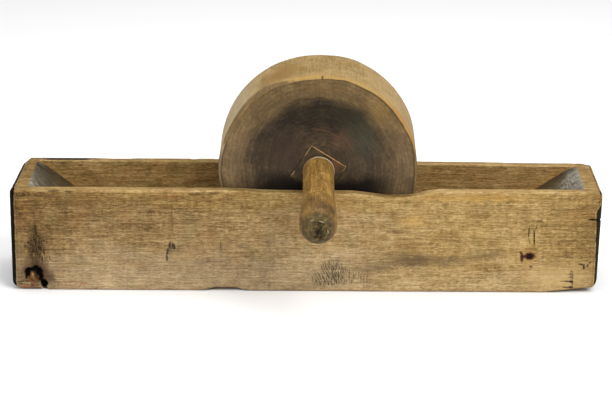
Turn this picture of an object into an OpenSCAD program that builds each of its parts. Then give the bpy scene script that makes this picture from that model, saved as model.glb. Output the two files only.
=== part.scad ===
// Hand mill: a thick wooden wheel that two handles roll to and fro in a dug-out wooden trough.
// Millimetres. The origin is the middle of the trough's underside. +X runs along the trough, +Z is up,
// and the front, which the wheel leans towards in its side play, is at -Y.

/* [Trough] */
// Length of the trough over its ends
trough_l = 660; // [580:1:760]
// Width of the trough over its side walls
trough_w = 124; // [100:1:150]
// Height of the trough
trough_h = 118; // [106:1:130]
// Thickness of each side wall
wall_t = 14; // [9:0.5:18]
// Width of the flat top of each end wall
end_t = 19; // [10:0.5:30]
// Slope of the left end of the hollow in degrees
ramp_left_deg = 36.5; // [30:0.5:50]
// Slope of the right end of the hollow in degrees
ramp_right_deg = 33; // [28:0.5:50]
// Radius that blends each sloping end into the floor
ramp_foot_r = 60; // [20:1:90]
// Radius of the gouged corners along the foot of the side walls
gouge_r = 2.5; // [1:0.5:5]
// Bevel along the inner edge of the rim
rim_bevel = 1.5; // [0.5:0.5:3]
// Radius of the worn edges along the trough
long_edge_r = 2.5; // [1:0.5:5]
// Radius of the worn edges round the ends
end_edge_r = 4.5; // [1:0.5:8]
/* [Wear on the front rim] */
// Length of the long shallow dip that the handle has rubbed
dip_l = 230; // [120:1:300]
// Depth of the long dip
dip_depth = 2.6; // [1:0.1:8]
// Middle of the long dip along the trough
dip_x = 37; // [-60:1:60]
// Length of the short deep dip at the end of the stroke
deep_dip_l = 104; // [40:1:130]
// Depth of the short dip
deep_dip_depth = 6.4; // [2:0.1:12]
// Middle of the short dip along the trough
deep_dip_x = 102; // [60:1:130]
/* [Wheel] */
// Diameter of the wheel
wheel_d = 220; // [200:1:240]
// Side play between the wheel and the two side walls together
side_play = 4.5; // [2:0.1:9]
// Radius of the wheel's worn edges
wheel_edge_r = 3; // [1:0.5:6]
// Where the wheel stands along the trough
wheel_x = 14; // [-60:1:60]
// Long side of the block through the wheel
hub_w = 47; // [40:0.5:60]
// Short side of the block
hub_h = 43; // [38:0.5:60]
// How far the block is turned round the spindle in degrees
hub_turn = 32.5; // [0:0.5:90]
// Bevel round the block's ends
hub_bevel = 1.2; // [0.4:0.2:3]
/* [Handles] */
// Diameter of the spindle
spindle_d = 18; // [12:0.5:24]
// Diameter of a handle near the wheel
grip_d = 34; // [30:0.5:38]
// Diameter of the knob at a handle's end
knob_d = 39.6; // [34:0.2:50]
// Length of a handle from its lip to its tip
handle_l = 195; // [140:1:240]
// Length of the straight grip before it swells to the knob
straight_l = 72; // [30:1:90]
// Length of the knob's rounded end
knob_end_l = 19; // [10:0.5:30]
// How far the lip stands out round a handle's root
lip_out = 0.6; // [0.2:0.1:2]
// Width of the lip
lip_w = 3; // [2:0.5:6]
// Thickness of a wedge at its outer end
wedge_t = 3.2; // [2:0.2:5]
// Depth of the split that a wedge is driven into
wedge_l = 24; // [12:1:40]
// How far the wedges are turned round the spindle in degrees
wedge_turn = 12; // [0:1:90]
/* [Fits] */
// Gap between the spindle and its bore, on the radius
bore_gap = 0.05; // [0.02:0.01:0.1]
// Gap between a handle and the block
lip_gap = 0.4; // [0.2:0.1:1]
// Gap between the wheel and the floor of the hollow
floor_gap = 0.3; // [0.2:0.1:1]
// Least gap between the wheel and each side wall
side_gap = 0.4; // [0.3:0.1:0.9]
// Gap between the handles and the unworn rim
rim_gap = 0.7; // [0.5:0.1:4]

/* [Hidden] */
$fn = 96;

// The wheel fills the hollow but for its side play, and leans until it meets the front rim and the foot
// of the rear wall.
wheel_r = wheel_d / 2;
hollow_w = trough_w - 2 * wall_t;
wheel_t = hollow_w - side_play;
lip_r = grip_d / 2 + lip_out;
lean = asin((side_play - 2 * side_gap) / (wheel_r - lip_r - wheel_edge_r));
// Centre of the wheel across the trough, with its low rear edge beside the rear wall
half_t = wheel_t / 2 - wheel_edge_r;
half_r = wheel_r - wheel_edge_r;
wheel_y = hollow_w / 2 - side_gap - wheel_edge_r - half_t * cos(lean) - half_r * sin(lean);
// Height of the wheel's centre over the floor, which its low front edge stands on
rise = floor_gap + wheel_edge_r + half_t * sin(lean) + half_r * cos(lean);
// The hollow is as deep as lets the leaning handle pass over the front wall
drop = (trough_w / 2 + wheel_y) * tan(lean);
hollow_depth = rise - drop - lip_r / cos(lean) - rim_gap;
floor_z = trough_h - hollow_depth;
wheel_z = floor_z + rise;
// Where each sloping end meets the floor
left_foot_x = -trough_l / 2 + end_t + hollow_depth / tan(ramp_left_deg);
right_foot_x = trough_l / 2 - end_t - hollow_depth / tan(ramp_right_deg);
spindle_r = spindle_d / 2;
// Distance from the wheel's middle to a handle's root
root_y = wheel_t / 2 + lip_gap;
tip_y = root_y + handle_l;
// How far cutters run past the faces that they cut
past = 1;
// Points along the swell and round the knob
swell_n = 12;
// Thickness of a wedge at its inner end
wedge_tip_t = wedge_t / 4;
// Sides of the drawn circles whose arcs are long and flat
foot_fn = 360;
dip_fn = 1440;

// A rectangle from the corner of the first quadrant, with rounded corners
module rounded_rect(w, h, r) {
    translate([r, 0]) square([w - 2 * r, h]);
    translate([0, r]) square([w, h - 2 * r]);
    for (x = [r, w - r], y = [r, h - r]) translate([x, y]) circle(r);
}

// Stands a drawing of length and height up, and gives it the width w across the trough
module across(w) {
    translate([0, w / 2, 0]) rotate([90, 0, 0]) linear_extrude(w) children();
}

// Stands a drawing of width and height up, and gives it the length l along the trough
module along(l) {
    translate([-l / 2, 0, 0]) rotate([90, 0, 90]) linear_extrude(l) children();
}

// The baulk before it is dug out, with all its edges worn round
module baulk() {
    intersection() {
        across(trough_w) translate([-trough_l / 2, 0]) rounded_rect(trough_l, trough_h, end_edge_r);
        along(trough_l) translate([-trough_w / 2, 0]) rounded_rect(trough_w, trough_h, long_edge_r);
        linear_extrude(trough_h) translate([-trough_l / 2, -trough_w / 2])
            rounded_rect(trough_l, trough_w, end_edge_r);
    }
}

// The corner that stays between the floor and a sloping end, filled to a hollow curve
module ramp_foot(foot_x, slope, side) {
    reach = ramp_foot_r * tan(slope / 2);
    translate([foot_x, floor_z]) mirror([side < 0 ? 1 : 0, 0]) difference() {
        polygon([
            [-reach, -past], [past, -past], [reach * cos(slope) + past, reach * sin(slope) - past],
            [reach * cos(slope), reach * sin(slope)], [-reach, ramp_foot_r]
        ]);
        translate([-reach, ramp_foot_r]) circle(ramp_foot_r, $fn = foot_fn);
    }
}

// Side view of the hollow: flat floor, sloping ends and curved feet
module hollow_side_view() {
    top_z = trough_h + past;
    left_top_x = left_foot_x - (hollow_depth + past) / tan(ramp_left_deg);
    right_top_x = right_foot_x + (hollow_depth + past) / tan(ramp_right_deg);
    difference() {
        polygon([[left_foot_x, floor_z], [right_foot_x, floor_z], [right_top_x, top_z], [left_top_x, top_z]]);
        ramp_foot(right_foot_x, ramp_right_deg, 1);
        ramp_foot(left_foot_x, ramp_left_deg, -1);
    }
}

// End view of the hollow: upright walls, gouged corners and a bevelled rim
module hollow_end_view() {
    half = hollow_w / 2;
    translate([-half, floor_z]) rounded_rect(hollow_w, hollow_depth - rim_bevel, gouge_r);
    polygon([
        [-half, floor_z + 2 * gouge_r], [half, floor_z + 2 * gouge_r], [half, trough_h - rim_bevel],
        [half + rim_bevel + past, trough_h + past], [-half - rim_bevel - past, trough_h + past],
        [-half, trough_h - rim_bevel]
    ]);
}

// A round-bottomed dip across the front wall's rim
module rim_dip(x, length, depth) {
    r = (length * length / 4 + depth * depth) / (2 * depth);
    translate([x, -trough_w / 2 - past, trough_h - depth + r])
        rotate([-90, 0, 0]) cylinder(r = r, h = wall_t + 2 * past, $fn = dip_fn);
}

module trough() {
    color("#a5834f") difference() {
        baulk();
        intersection() {
            across(hollow_w + 2 * (rim_bevel + past)) hollow_side_view();
            along(trough_l) hollow_end_view();
        }
        rim_dip(dip_x, dip_l, dip_depth);
        rim_dip(deep_dip_x, deep_dip_l, deep_dip_depth);
    }
}

// Places what turns or slides with the wheel: its middle at the origin, its spindle along Y
module on_spindle() {
    translate([wheel_x, wheel_y, wheel_z]) rotate([lean, 0, 0]) children();
}

// A round bar along Y, through the middle
module bar(r, l) {
    rotate([90, 0, 0]) cylinder(r = r, h = l, center = true);
}

// A block through the middle, turned as the hub is
module turned_block(w, l, h) {
    rotate([0, hub_turn, 0]) cube([w, l, h], center = true);
}

module wheel() {
    color("#8a6c45") on_spindle() difference() {
        rotate([90, 0, 0]) rotate_extrude() {
            translate([0, -wheel_t / 2]) square([half_r, wheel_t]);
            translate([0, -half_t]) square([wheel_r, 2 * half_t]);
            for (y = [-half_t, half_t]) translate([half_r, y]) circle(wheel_edge_r);
        }
        turned_block(hub_w, wheel_t + 2 * past, hub_h);
    }
}

// Takes a bevel off one edge, which lies in the direction of X through the origin
module bevel_cut(l, bevel) {
    side = bevel * sqrt(2);
    rotate([45, 0, 0]) cube([l + 2 * past, side, side], center = true);
}

// The block ends flush with the wheel's faces, because it turns down between the trough's side walls
module hub_block() {
    color("#6d4f35") on_spindle() difference() {
        turned_block(hub_w, wheel_t, hub_h);
        rotate([0, hub_turn, 0]) for (end = [-1, 1], side = [-1, 1]) {
            translate([0, end * wheel_t / 2, side * hub_h / 2]) bevel_cut(hub_w, hub_bevel);
            translate([side * hub_w / 2, end * wheel_t / 2, 0]) rotate([0, 90, 0])
                bevel_cut(hub_h, hub_bevel);
        }
        bar(spindle_r + bore_gap, wheel_t + 2 * past);
    }
}

// Outline of a handle: a lip, a straight grip, a smooth swell and a domed knob. The swell is half a
// cosine wave and the dome a quarter of an ellipse.
function swell_points() = [
    for (i = [0:swell_n])
        let (t = i / swell_n)
        [grip_d / 2 + (knob_d - grip_d) / 2 * (1 - cos(180 * t)) / 2,
         straight_l + (handle_l - knob_end_l - straight_l) * t]
];
function dome_points() = [
    for (i = [1:swell_n])
        let (a = 90 * i / swell_n)
        [knob_d / 2 * cos(a), handle_l - knob_end_l + knob_end_l * sin(a)]
];
function handle_outline() = concat(
    [[0, 0], [grip_d / 2, 0], [lip_r, lip_w / 3], [lip_r, lip_w * 2 / 3], [grip_d / 2, lip_w]],
    swell_points(), dome_points()
);

// The outside of both handles, for side = -1 at the front and 1 at the rear
module turned_shape(side) {
    rotate([-90 * side, 0, 0]) translate([0, 0, root_y]) rotate_extrude() polygon(handle_outline());
}

// The wedge of one end, thin inside and thick at the mouth, past the tip so that the dome can trim it
module wedge_shape(side) {
    rotate([-90 * side, wedge_turn, 0]) translate([0, 0, tip_y - wedge_l]) rotate([90, 0, 0])
        linear_extrude(spindle_d, center = true)
            polygon([
                [-wedge_tip_t / 2, 0], [wedge_tip_t / 2, 0], [wedge_t / 2, wedge_l], [-wedge_t / 2, wedge_l]
            ]);
}

module handle(side) {
    color("#97713c") on_spindle() difference() {
        turned_shape(side);
        bar(spindle_r, 2 * tip_y + 2 * past);
    }
}
module front_handle() { handle(-1); }
module rear_handle() { handle(1); }

module spindle() {
    color("#6a5738") on_spindle() difference() {
        union() {
            bar(spindle_r, 2 * (root_y + handle_l / 2));
            for (side = [-1, 1]) intersection() {
                bar(spindle_r, 2 * tip_y);
                turned_shape(side);
            }
        }
        for (side = [-1, 1]) wedge_shape(side);
    }
}

module wedge(side) {
    color("#4a3a26") on_spindle() intersection() {
        wedge_shape(side);
        turned_shape(side);
        bar(spindle_r, 2 * tip_y);
    }
}
module front_wedge() { wedge(-1); }
module rear_wedge() { wedge(1); }

trough();
wheel();
hub_block();
spindle();
front_handle();
rear_handle();
front_wedge();
rear_wedge();
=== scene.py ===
"""Looks of the trough mill: a thick wooden wheel that two handles roll in a dug-out wooden trough.

Lengths are in metres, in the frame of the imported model: +X along the trough, the front at -Y, +Z up.
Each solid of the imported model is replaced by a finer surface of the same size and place, worked out
on a grid of points, and each surface gets a wood of its own, worked out by shader nodes.
"""
import itertools
import math

import bpy
import numpy as np
from mathutils import Matrix, Vector


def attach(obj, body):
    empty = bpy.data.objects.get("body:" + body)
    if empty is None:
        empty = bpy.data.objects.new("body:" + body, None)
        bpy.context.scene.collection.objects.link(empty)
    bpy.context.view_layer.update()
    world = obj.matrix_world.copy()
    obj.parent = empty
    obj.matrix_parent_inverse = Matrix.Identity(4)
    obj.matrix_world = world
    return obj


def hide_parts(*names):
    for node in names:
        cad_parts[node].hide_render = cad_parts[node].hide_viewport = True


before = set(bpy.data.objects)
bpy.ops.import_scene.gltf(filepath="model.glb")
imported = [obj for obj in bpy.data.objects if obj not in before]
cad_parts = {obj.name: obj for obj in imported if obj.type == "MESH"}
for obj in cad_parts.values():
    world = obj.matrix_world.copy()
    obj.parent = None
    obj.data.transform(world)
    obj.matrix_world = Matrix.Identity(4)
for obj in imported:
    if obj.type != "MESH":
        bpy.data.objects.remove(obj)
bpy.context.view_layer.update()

# ---- Sizes, as in the part's source ----
LENGTH, WIDTH, HEIGHT = 0.660, 0.124, 0.118
WALL = 0.014
END_T = 0.019
RAMP_DEG = (36.5, 33.0)
FLOOR_Z = 0.0268004
HALF_HOLLOW = WIDTH / 2 - WALL
END_EDGE = 0.0032
LONG_EDGE = 0.0025
RIM_EDGE = 0.0017
GOUGE = 0.0018
WHEEL_R, WHEEL_T, WHEEL_EDGE = 0.110, 0.0915, 0.003
WHEEL_AT = (0.014, -0.0025418, 0.138778)
LEAN = math.radians(2.37198)
BLOCK_W, BLOCK_H = 0.047, 0.043
BLOCK_TURN = math.radians(32.5)
BLOCK_BEVEL = 0.0012
SPINDLE_R, BORE_R = 0.009, 0.00905
GRIP_R, KNOB_R, LIP_R = 0.017, 0.0198, 0.0176
HANDLE_L, STRAIGHT_L, KNOB_END_L = 0.195, 0.072, 0.019
ROOT_Y = 0.04615
TIP_Y = ROOT_Y + HANDLE_L
WEDGE_TURN = math.radians(12)
WEDGE_T, WEDGE_L = 0.0032, 0.024

# ---- Camera: the photograph's viewing angle ----
VIEW_DOWN, VIEW_TURN, VIEW_ROLL = (math.radians(a) for a in (16.9004, -0.385, 0.2285))
VIEW_AWAY = 2.6921
VIEW_TARGET = Vector((0.0001, -0.062, 0.10286))
VIEW_LENS = 142.40


def add_camera():
    """Looks down at the front of the trough from a little above, through a long lens."""
    ahead = Vector((math.sin(VIEW_TURN) * math.cos(VIEW_DOWN), math.cos(VIEW_TURN) * math.cos(VIEW_DOWN),
                    -math.sin(VIEW_DOWN)))
    right = Vector((math.cos(VIEW_TURN), -math.sin(VIEW_TURN), 0))
    up = right.cross(ahead)
    side = right * math.cos(VIEW_ROLL) + up * math.sin(VIEW_ROLL)
    top = up * math.cos(VIEW_ROLL) - right * math.sin(VIEW_ROLL)
    camera = bpy.data.objects.new("camera", bpy.data.cameras.new("camera"))
    camera.data.lens, camera.data.sensor_width = VIEW_LENS, 36
    camera.data.clip_start, camera.data.clip_end = 0.05, 60
    turn = Matrix((side, top, -ahead)).transposed().to_4x4()
    camera.matrix_world = Matrix.Translation(VIEW_TARGET - ahead * VIEW_AWAY) @ turn
    bpy.context.scene.collection.objects.link(camera)
    bpy.context.scene.camera = camera


# ---- Surfaces ----
def smooth(t):
    """0 below 0, 1 above 1, and t*t*(3 - 2t) between."""
    t = np.clip(t, 0, 1)
    return t * t * (3 - 2 * t)


def rise(x, start, end):
    """Smooth step from 0 at start to 1 at end."""
    return smooth((x - start) / (end - start))


def lumps(place, size, seed):
    """Smooth random swellings from -1 to 1, about size apart: random numbers at the corners of a
    lattice, blended inside each cell with smooth weights along all three directions."""
    table = np.random.default_rng(seed).uniform(-1, 1, (17, 19, 23))
    at = place / np.asarray(size) + 64.0
    low = np.floor(at).astype(int)
    part = smooth(at - low)
    total = np.zeros(place.shape[:-1])
    for corner in itertools.product((0, 1), repeat=3):
        weight = np.prod(np.where(corner, part, 1 - part), axis=-1)
        spot = (low + np.array(corner)) % np.array(table.shape)
        total += weight * table[spot[..., 0], spot[..., 1], spot[..., 2]]
    return total


def facing(grid, closed_u):
    """Unit normals of a grid that is closed in v: the cross product of its two differences."""
    along = np.roll(grid, -1, 0) - np.roll(grid, 1, 0) if closed_u else np.gradient(grid, axis=0)
    round_ = np.roll(grid, -1, 1) - np.roll(grid, 1, 1)
    n = np.cross(along, round_)
    return n / np.maximum(np.linalg.norm(n, axis=-1, keepdims=True), 1e-12)


def make_piece(name, grid, marks, body, nodes, wood, closed_u):
    """A mesh of quads between the neighbours of a grid that is closed in v. In u it is closed too, or
    each end is closed with triangles that meet in the middle of the last loop. marks are numbers per
    point that the material reads by name."""
    nu, nv = grid.shape[:2]
    points = grid.reshape(-1, 3)
    index = np.arange(nu * nv).reshape(nu, nv)
    a = index if closed_u else index[:-1]
    b = np.roll(index, -1, 0) if closed_u else index[1:]
    quads = np.stack([a, b, np.roll(b, -1, 1), np.roll(a, -1, 1)], -1).reshape(-1, 4)
    tris = np.zeros((0, 3), int)
    values = {key: np.broadcast_to(value, (nu, nv)).ravel() for key, value in marks.items()}
    if not closed_u:
        points = np.vstack([points, grid[0].mean(0), grid[-1].mean(0)])
        first, last = nu * nv, nu * nv + 1
        start, end = index[0], index[-1]
        tris = np.vstack([
            np.stack([np.full(nv, first), start, np.roll(start, -1)], -1),
            np.stack([end, np.full(nv, last), np.roll(end, -1)], -1)])
        values = {key: np.r_[v, v[start].mean(), v[end].mean()] for key, v in values.items()}
    mesh = bpy.data.meshes.new(name)
    mesh.vertices.add(len(points))
    mesh.vertices.foreach_set("co", points.astype(np.float32).ravel())
    corners = np.concatenate([quads.ravel(), tris.ravel()]).astype(np.int32)
    starts = np.concatenate([np.arange(len(quads)) * 4, len(quads) * 4 + np.arange(len(tris)) * 3])
    mesh.loops.add(len(corners))
    mesh.loops.foreach_set("vertex_index", corners)
    mesh.polygons.add(len(starts))
    mesh.polygons.foreach_set("loop_start", starts.astype(np.int32))
    mesh.update(calc_edges=True)
    mesh.shade_smooth()
    for key, v in values.items():
        mesh.attributes.new(key, "FLOAT", "POINT").data.foreach_set("value", v.astype(np.float32))
    mesh.materials.append(wood)
    piece = bpy.data.objects.new(name, mesh)
    bpy.context.scene.collection.objects.link(piece)
    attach(piece, body)
    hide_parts(*nodes)
    return piece


# ---- Trough ----
def front_wear(x):
    """How far the front rim is worn down: a long shallow dip and a deeper one at the stroke's end,
    each the product of a smooth fall and a smooth rise, and a little everywhere."""
    long_dip = 0.0021 * rise(x, -0.090, -0.030) * (1 - rise(x, 0.108, 0.150))
    deep_dip = 0.0046 * rise(x, 0.045, 0.095) * (1 - rise(x, 0.108, 0.150))
    ends = 0.0010 * (1 - rise(x, -0.330, -0.318)) + 0.0014 * rise(x, 0.320, 0.330)
    return 0.0004 + long_dip + deep_dip + ends


def rear_wear(x):
    """How far the rear rim is worn down from where it stands proud at the left: more towards the
    right, and at both corners."""
    return (-0.0021 + 0.0022 * rise(x, -0.060, 0.200) + 0.0009 * rise(x, 0.200, 0.260)
            + 0.0024 * rise(x, 0.314, 0.330) + 0.0080 * (1 - rise(x, -0.331, -0.3175)))


def front_lift(x):
    """How far the front bottom edge stands off the ground: worn up at both ends, more at the very
    corners, and a shallow hollow left of the middle."""
    left = 0.0012 * (1 - rise(x, -0.300, -0.290)) + 0.0060 * (1 - rise(x, -0.333, -0.314)) ** 2
    right = 0.0056 * rise(x, 0.262, 0.328) + 0.012 * rise(x, 0.320, 0.335) ** 2
    return left + right + 0.0034 * rise(x, -0.118, -0.100) * (1 - rise(x, -0.080, -0.063))


def hollow_height(x):
    """Height of the hollow's floor: each end is one arm of a hyperbola between the flat floor and the
    slope, which leaves a curved foot. The floor is rubbed a little deeper left of the wheel."""
    deep = HEIGHT - FLOOR_Z
    height = np.full_like(x, FLOOR_Z)
    for side, deg, foot in ((-1, RAMP_DEG[0], 0.0066), (1, RAMP_DEG[1], 0.0080)):
        slope = math.tan(math.radians(deg))
        start = LENGTH / 2 - END_T - deep / slope
        over = slope * (side * x - start)
        height = height + (over + np.sqrt(over ** 2 + foot ** 2)) / 2
    return height - 0.0024 * rise(x, -0.262, -0.236) * (1 - rise(x, -0.135, -0.085))


def lower_of(a, b, blend):
    """The lower of two heights, with the edge between them rounded over the height blend."""
    h = np.clip(0.5 + 0.5 * (b - a) / blend, 0, 1)
    return b + (a - b) * h - blend * h * (1 - h)


def stations():
    """Places along the trough: round each end's edge by equal angles, and between them every 1.9 mm,
    or closer where the rim ends and where the knot hole is."""
    x = np.linspace(-LENGTH / 2 + END_EDGE, LENGTH / 2 - END_EDGE, 4001)
    step = 0.0019 - 0.0009 * (1 - rise(x, -0.272, -0.264)) - 0.0008 * rise(x, 0.296, 0.302)
    count = np.concatenate([[0], np.cumsum(np.diff(x) / step[1:])])
    middle = np.interp(np.linspace(0, count[-1], int(count[-1])), count, x)
    turn = np.radians(np.array([0, 18, 36, 54, 72]))
    end = LENGTH / 2 - END_EDGE * (1 - np.sin(turn[::-1]))
    return np.concatenate([-end, middle, end[::-1]])


def segment(t, y0, z0, y1, z1):
    """Straight run of a section from one corner to another, the first point included."""
    return y0 + (y1 - y0) * t, z0 + (z1 - z0) * t


def corner(t, y, z, ry, rz, start, end):
    """Quarter of an ellipse round y, z from one angle to another, in degrees."""
    a = np.radians(start + (end - start) * t)
    return y + ry * np.cos(a), z + rz * np.sin(a)


def trough_grid():
    """Sections across the trough, one per station. Each is a closed loop: up the front, over its rim,
    down into the hollow, across its floor, up and over the rear rim, down the rear and back below.
    Where the floor comes up to the rim the walls fade away. The end faces are the last section drawn
    in towards its middle."""
    x = stations()[:, None]
    to_end = LENGTH / 2 - np.abs(x)
    inset = END_EDGE - np.sqrt(np.maximum(END_EDGE ** 2 - np.maximum(END_EDGE - to_end, 0) ** 2, 0))
    a = WIDTH / 2 - inset
    bottom_f, bottom_r = inset + front_lift(x), inset + 0.6 * front_lift(x)
    top_f, top_r = HEIGHT - inset - front_wear(x), HEIGHT - inset - rear_wear(x)
    half = HALF_HOLLOW
    share = half / (WIDTH / 2)
    at_f = top_f * (1 + share) / 2 + top_r * (1 - share) / 2
    at_r = top_r * (1 + share) / 2 + top_f * (1 - share) / 2
    drawn_in = np.sign(x) * rise(np.abs(x), np.where(x > 0, 0.284, 0.240), np.where(x > 0, 0.302, 0.280))
    ramp = hollow_height(x + np.where(x > 0, 0.0006, 0.0014) * drawn_in) - inset
    ramp_r = hollow_height(x + np.where(x > 0, 0.0008, 0.0030) * drawn_in) - inset
    low_f, low_r = lower_of(ramp, at_f, 0.0010), lower_of(ramp_r, at_r, 0.0010)
    deep_f, deep_r = np.maximum(top_f - low_f, 0), np.maximum(top_r - low_r, 0)
    r = LONG_EDGE
    rim_v_f, rim_v_r = np.minimum(RIM_EDGE, 0.35 * deep_f), np.minimum(RIM_EDGE, 0.35 * deep_r)
    foot_v_f, foot_v_r = np.minimum(GOUGE, 0.3 * deep_f), np.minimum(GOUGE, 0.3 * deep_r)
    spread_f = 0.0016 * (1 - rise(deep_f, 0, 0.006))
    spread_r = 0.0016 * (1 - rise(deep_r, 0, 0.006))
    lean_f, lean_r = half - spread_f, half - spread_r
    t = {n: (np.arange(n) / n)[None] for n in (3, 4, 5, 6, 12, 16, 22, 24, 28)}
    face = np.concatenate([np.linspace(0, 0.23, 26, endpoint=False), np.linspace(0.23, 1, 52, endpoint=False)])[None]
    wall = (np.arange(20) / 20)[None] ** 1.25
    rising = 1 - (np.arange(20, 0, -1) / 20)[None] ** 1.25
    across = t[28]
    floor_y = -lean_f + GOUGE + (lean_f + lean_r - 2 * GOUGE) * across
    floor_z = low_f + (low_r - low_f) * across
    parts = [
        ("low", corner(t[4], -a + r, bottom_f + r, r, r, 270, 180)),
        ("front", segment(face, -a, bottom_f + r, -a, top_f - r)),
        ("arris", corner(t[5], -a + r, top_f - r, r, r, 180, 90)),
        ("rim", segment(t[6], -a + r, top_f, -half - RIM_EDGE, top_f)),
        ("arris", corner(t[5], -half - RIM_EDGE, top_f - rim_v_f, RIM_EDGE, rim_v_f, 90, 0)),
        ("wall", segment(wall, -half, top_f - rim_v_f, -lean_f, low_f + foot_v_f)),
        ("foot", corner(t[4], -lean_f + GOUGE, low_f + foot_v_f, GOUGE, foot_v_f, 180, 270)),
        ("floor", (floor_y, floor_z)),
        ("foot", corner(t[4], lean_r - GOUGE, low_r + foot_v_r, GOUGE, foot_v_r, 270, 360)),
        ("wall", segment(rising, lean_r, low_r + foot_v_r, half, top_r - rim_v_r)),
        ("arris", corner(t[5], half + RIM_EDGE, top_r - rim_v_r, RIM_EDGE, rim_v_r, 180, 90)),
        ("rim", segment(t[6], half + RIM_EDGE, top_r, a - r, top_r)),
        ("arris", corner(t[5], a - r, top_r - r, r, r, 90, 0)),
        ("rear", segment(t[28], a, top_r - r, a, bottom_r + r)),
        ("low", corner(t[4], a - r, bottom_r + r, r, r, 0, -90)),
        ("under", segment(t[12], a - r, bottom_r, -a + r, bottom_f)),
    ]
    role = np.concatenate([[kind] * np.broadcast(*run).shape[1] for kind, run in parts])
    y = np.concatenate([np.broadcast_to(run[0], (len(x), np.broadcast(*run).shape[1])) for _, run in parts], 1)
    z = np.concatenate([np.broadcast_to(run[1], (len(x), np.broadcast(*run).shape[1])) for _, run in parts], 1)
    grid = np.stack([np.broadcast_to(x, y.shape), y, z], -1)
    return grid, role, (top_f, top_r, ramp)


KNOT_ROT = (  # middle x, z and reach x, z of each rotted place, and its depth, in mm
    (-312.6, 20.2, 3.3, 4.6, 6.0), (-308.6, 24.4, 4.0, 2.8, 5.5), (-303.2, 24.8, 4.6, 3.0, 6.0),
    (-299.2, 21.0, 4.2, 5.0, 7.0), (-297.4, 14.2, 2.9, 4.8, 5.0), (-294.4, 6.8, 4.2, 5.6, 6.5),
    (-293.0, 1.6, 3.2, 3.2, 4.0), (-314.0, 14.4, 1.9, 2.2, 2.0), (-313.6, 9.2, 4.8, 1.0, 1.6))


def knot_hole(place):
    """Depth of the rotted knot at the left: several rotted places round a hard core, each an ellipse
    with a steep ragged wall, one of them broken through to the bottom edge."""
    ragged = 0.0012 * np.stack([lumps(place, (0.0024, 1, 0.0024), seed) for seed in (6, 7)], -1)
    x, z = place[..., 0] + ragged[..., 0], place[..., 2] + ragged[..., 1]
    depth = np.zeros_like(x)
    for mid_x, mid_z, reach_x, reach_z, deep in KNOT_ROT:
        far = np.hypot((x - mid_x / 1000) / reach_x, (z - mid_z / 1000) / reach_z) * 1000
        depth = np.maximum(depth, deep / 1000 * (1 - rise(far, 0.55, 1.15)))
    return depth


def gouge(x, z):
    """Depth of the small torn gouge: two short slanted strokes that meet at the top, the left one
    with a tail."""
    right = stroke(x, z, (-0.1496, 0.0548), (-0.1465, 0.0489), 0.0017)
    left = stroke(x, z, (-0.1514, 0.0563), (-0.1530, 0.0496), 0.0017)
    tail = stroke(x, z, (-0.1548, 0.0500), (-0.1574, 0.0364), 0.0016)
    return 0.0011 * np.maximum(np.maximum(left, right), 0.8 * tail)


def stroke(x, z, start, end, half):
    """1 on the line between two points of the XZ plane, falling to 0 at half a width from it."""
    run = np.array(end) - np.array(start)
    part = np.clip(((x - start[0]) * run[0] + (z - start[1]) * run[1]) / (run @ run), 0, 1)
    far = np.hypot(x - start[0] - part * run[0], z - start[1] - part * run[1])
    return np.exp(-(far / half) ** 2)


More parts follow.
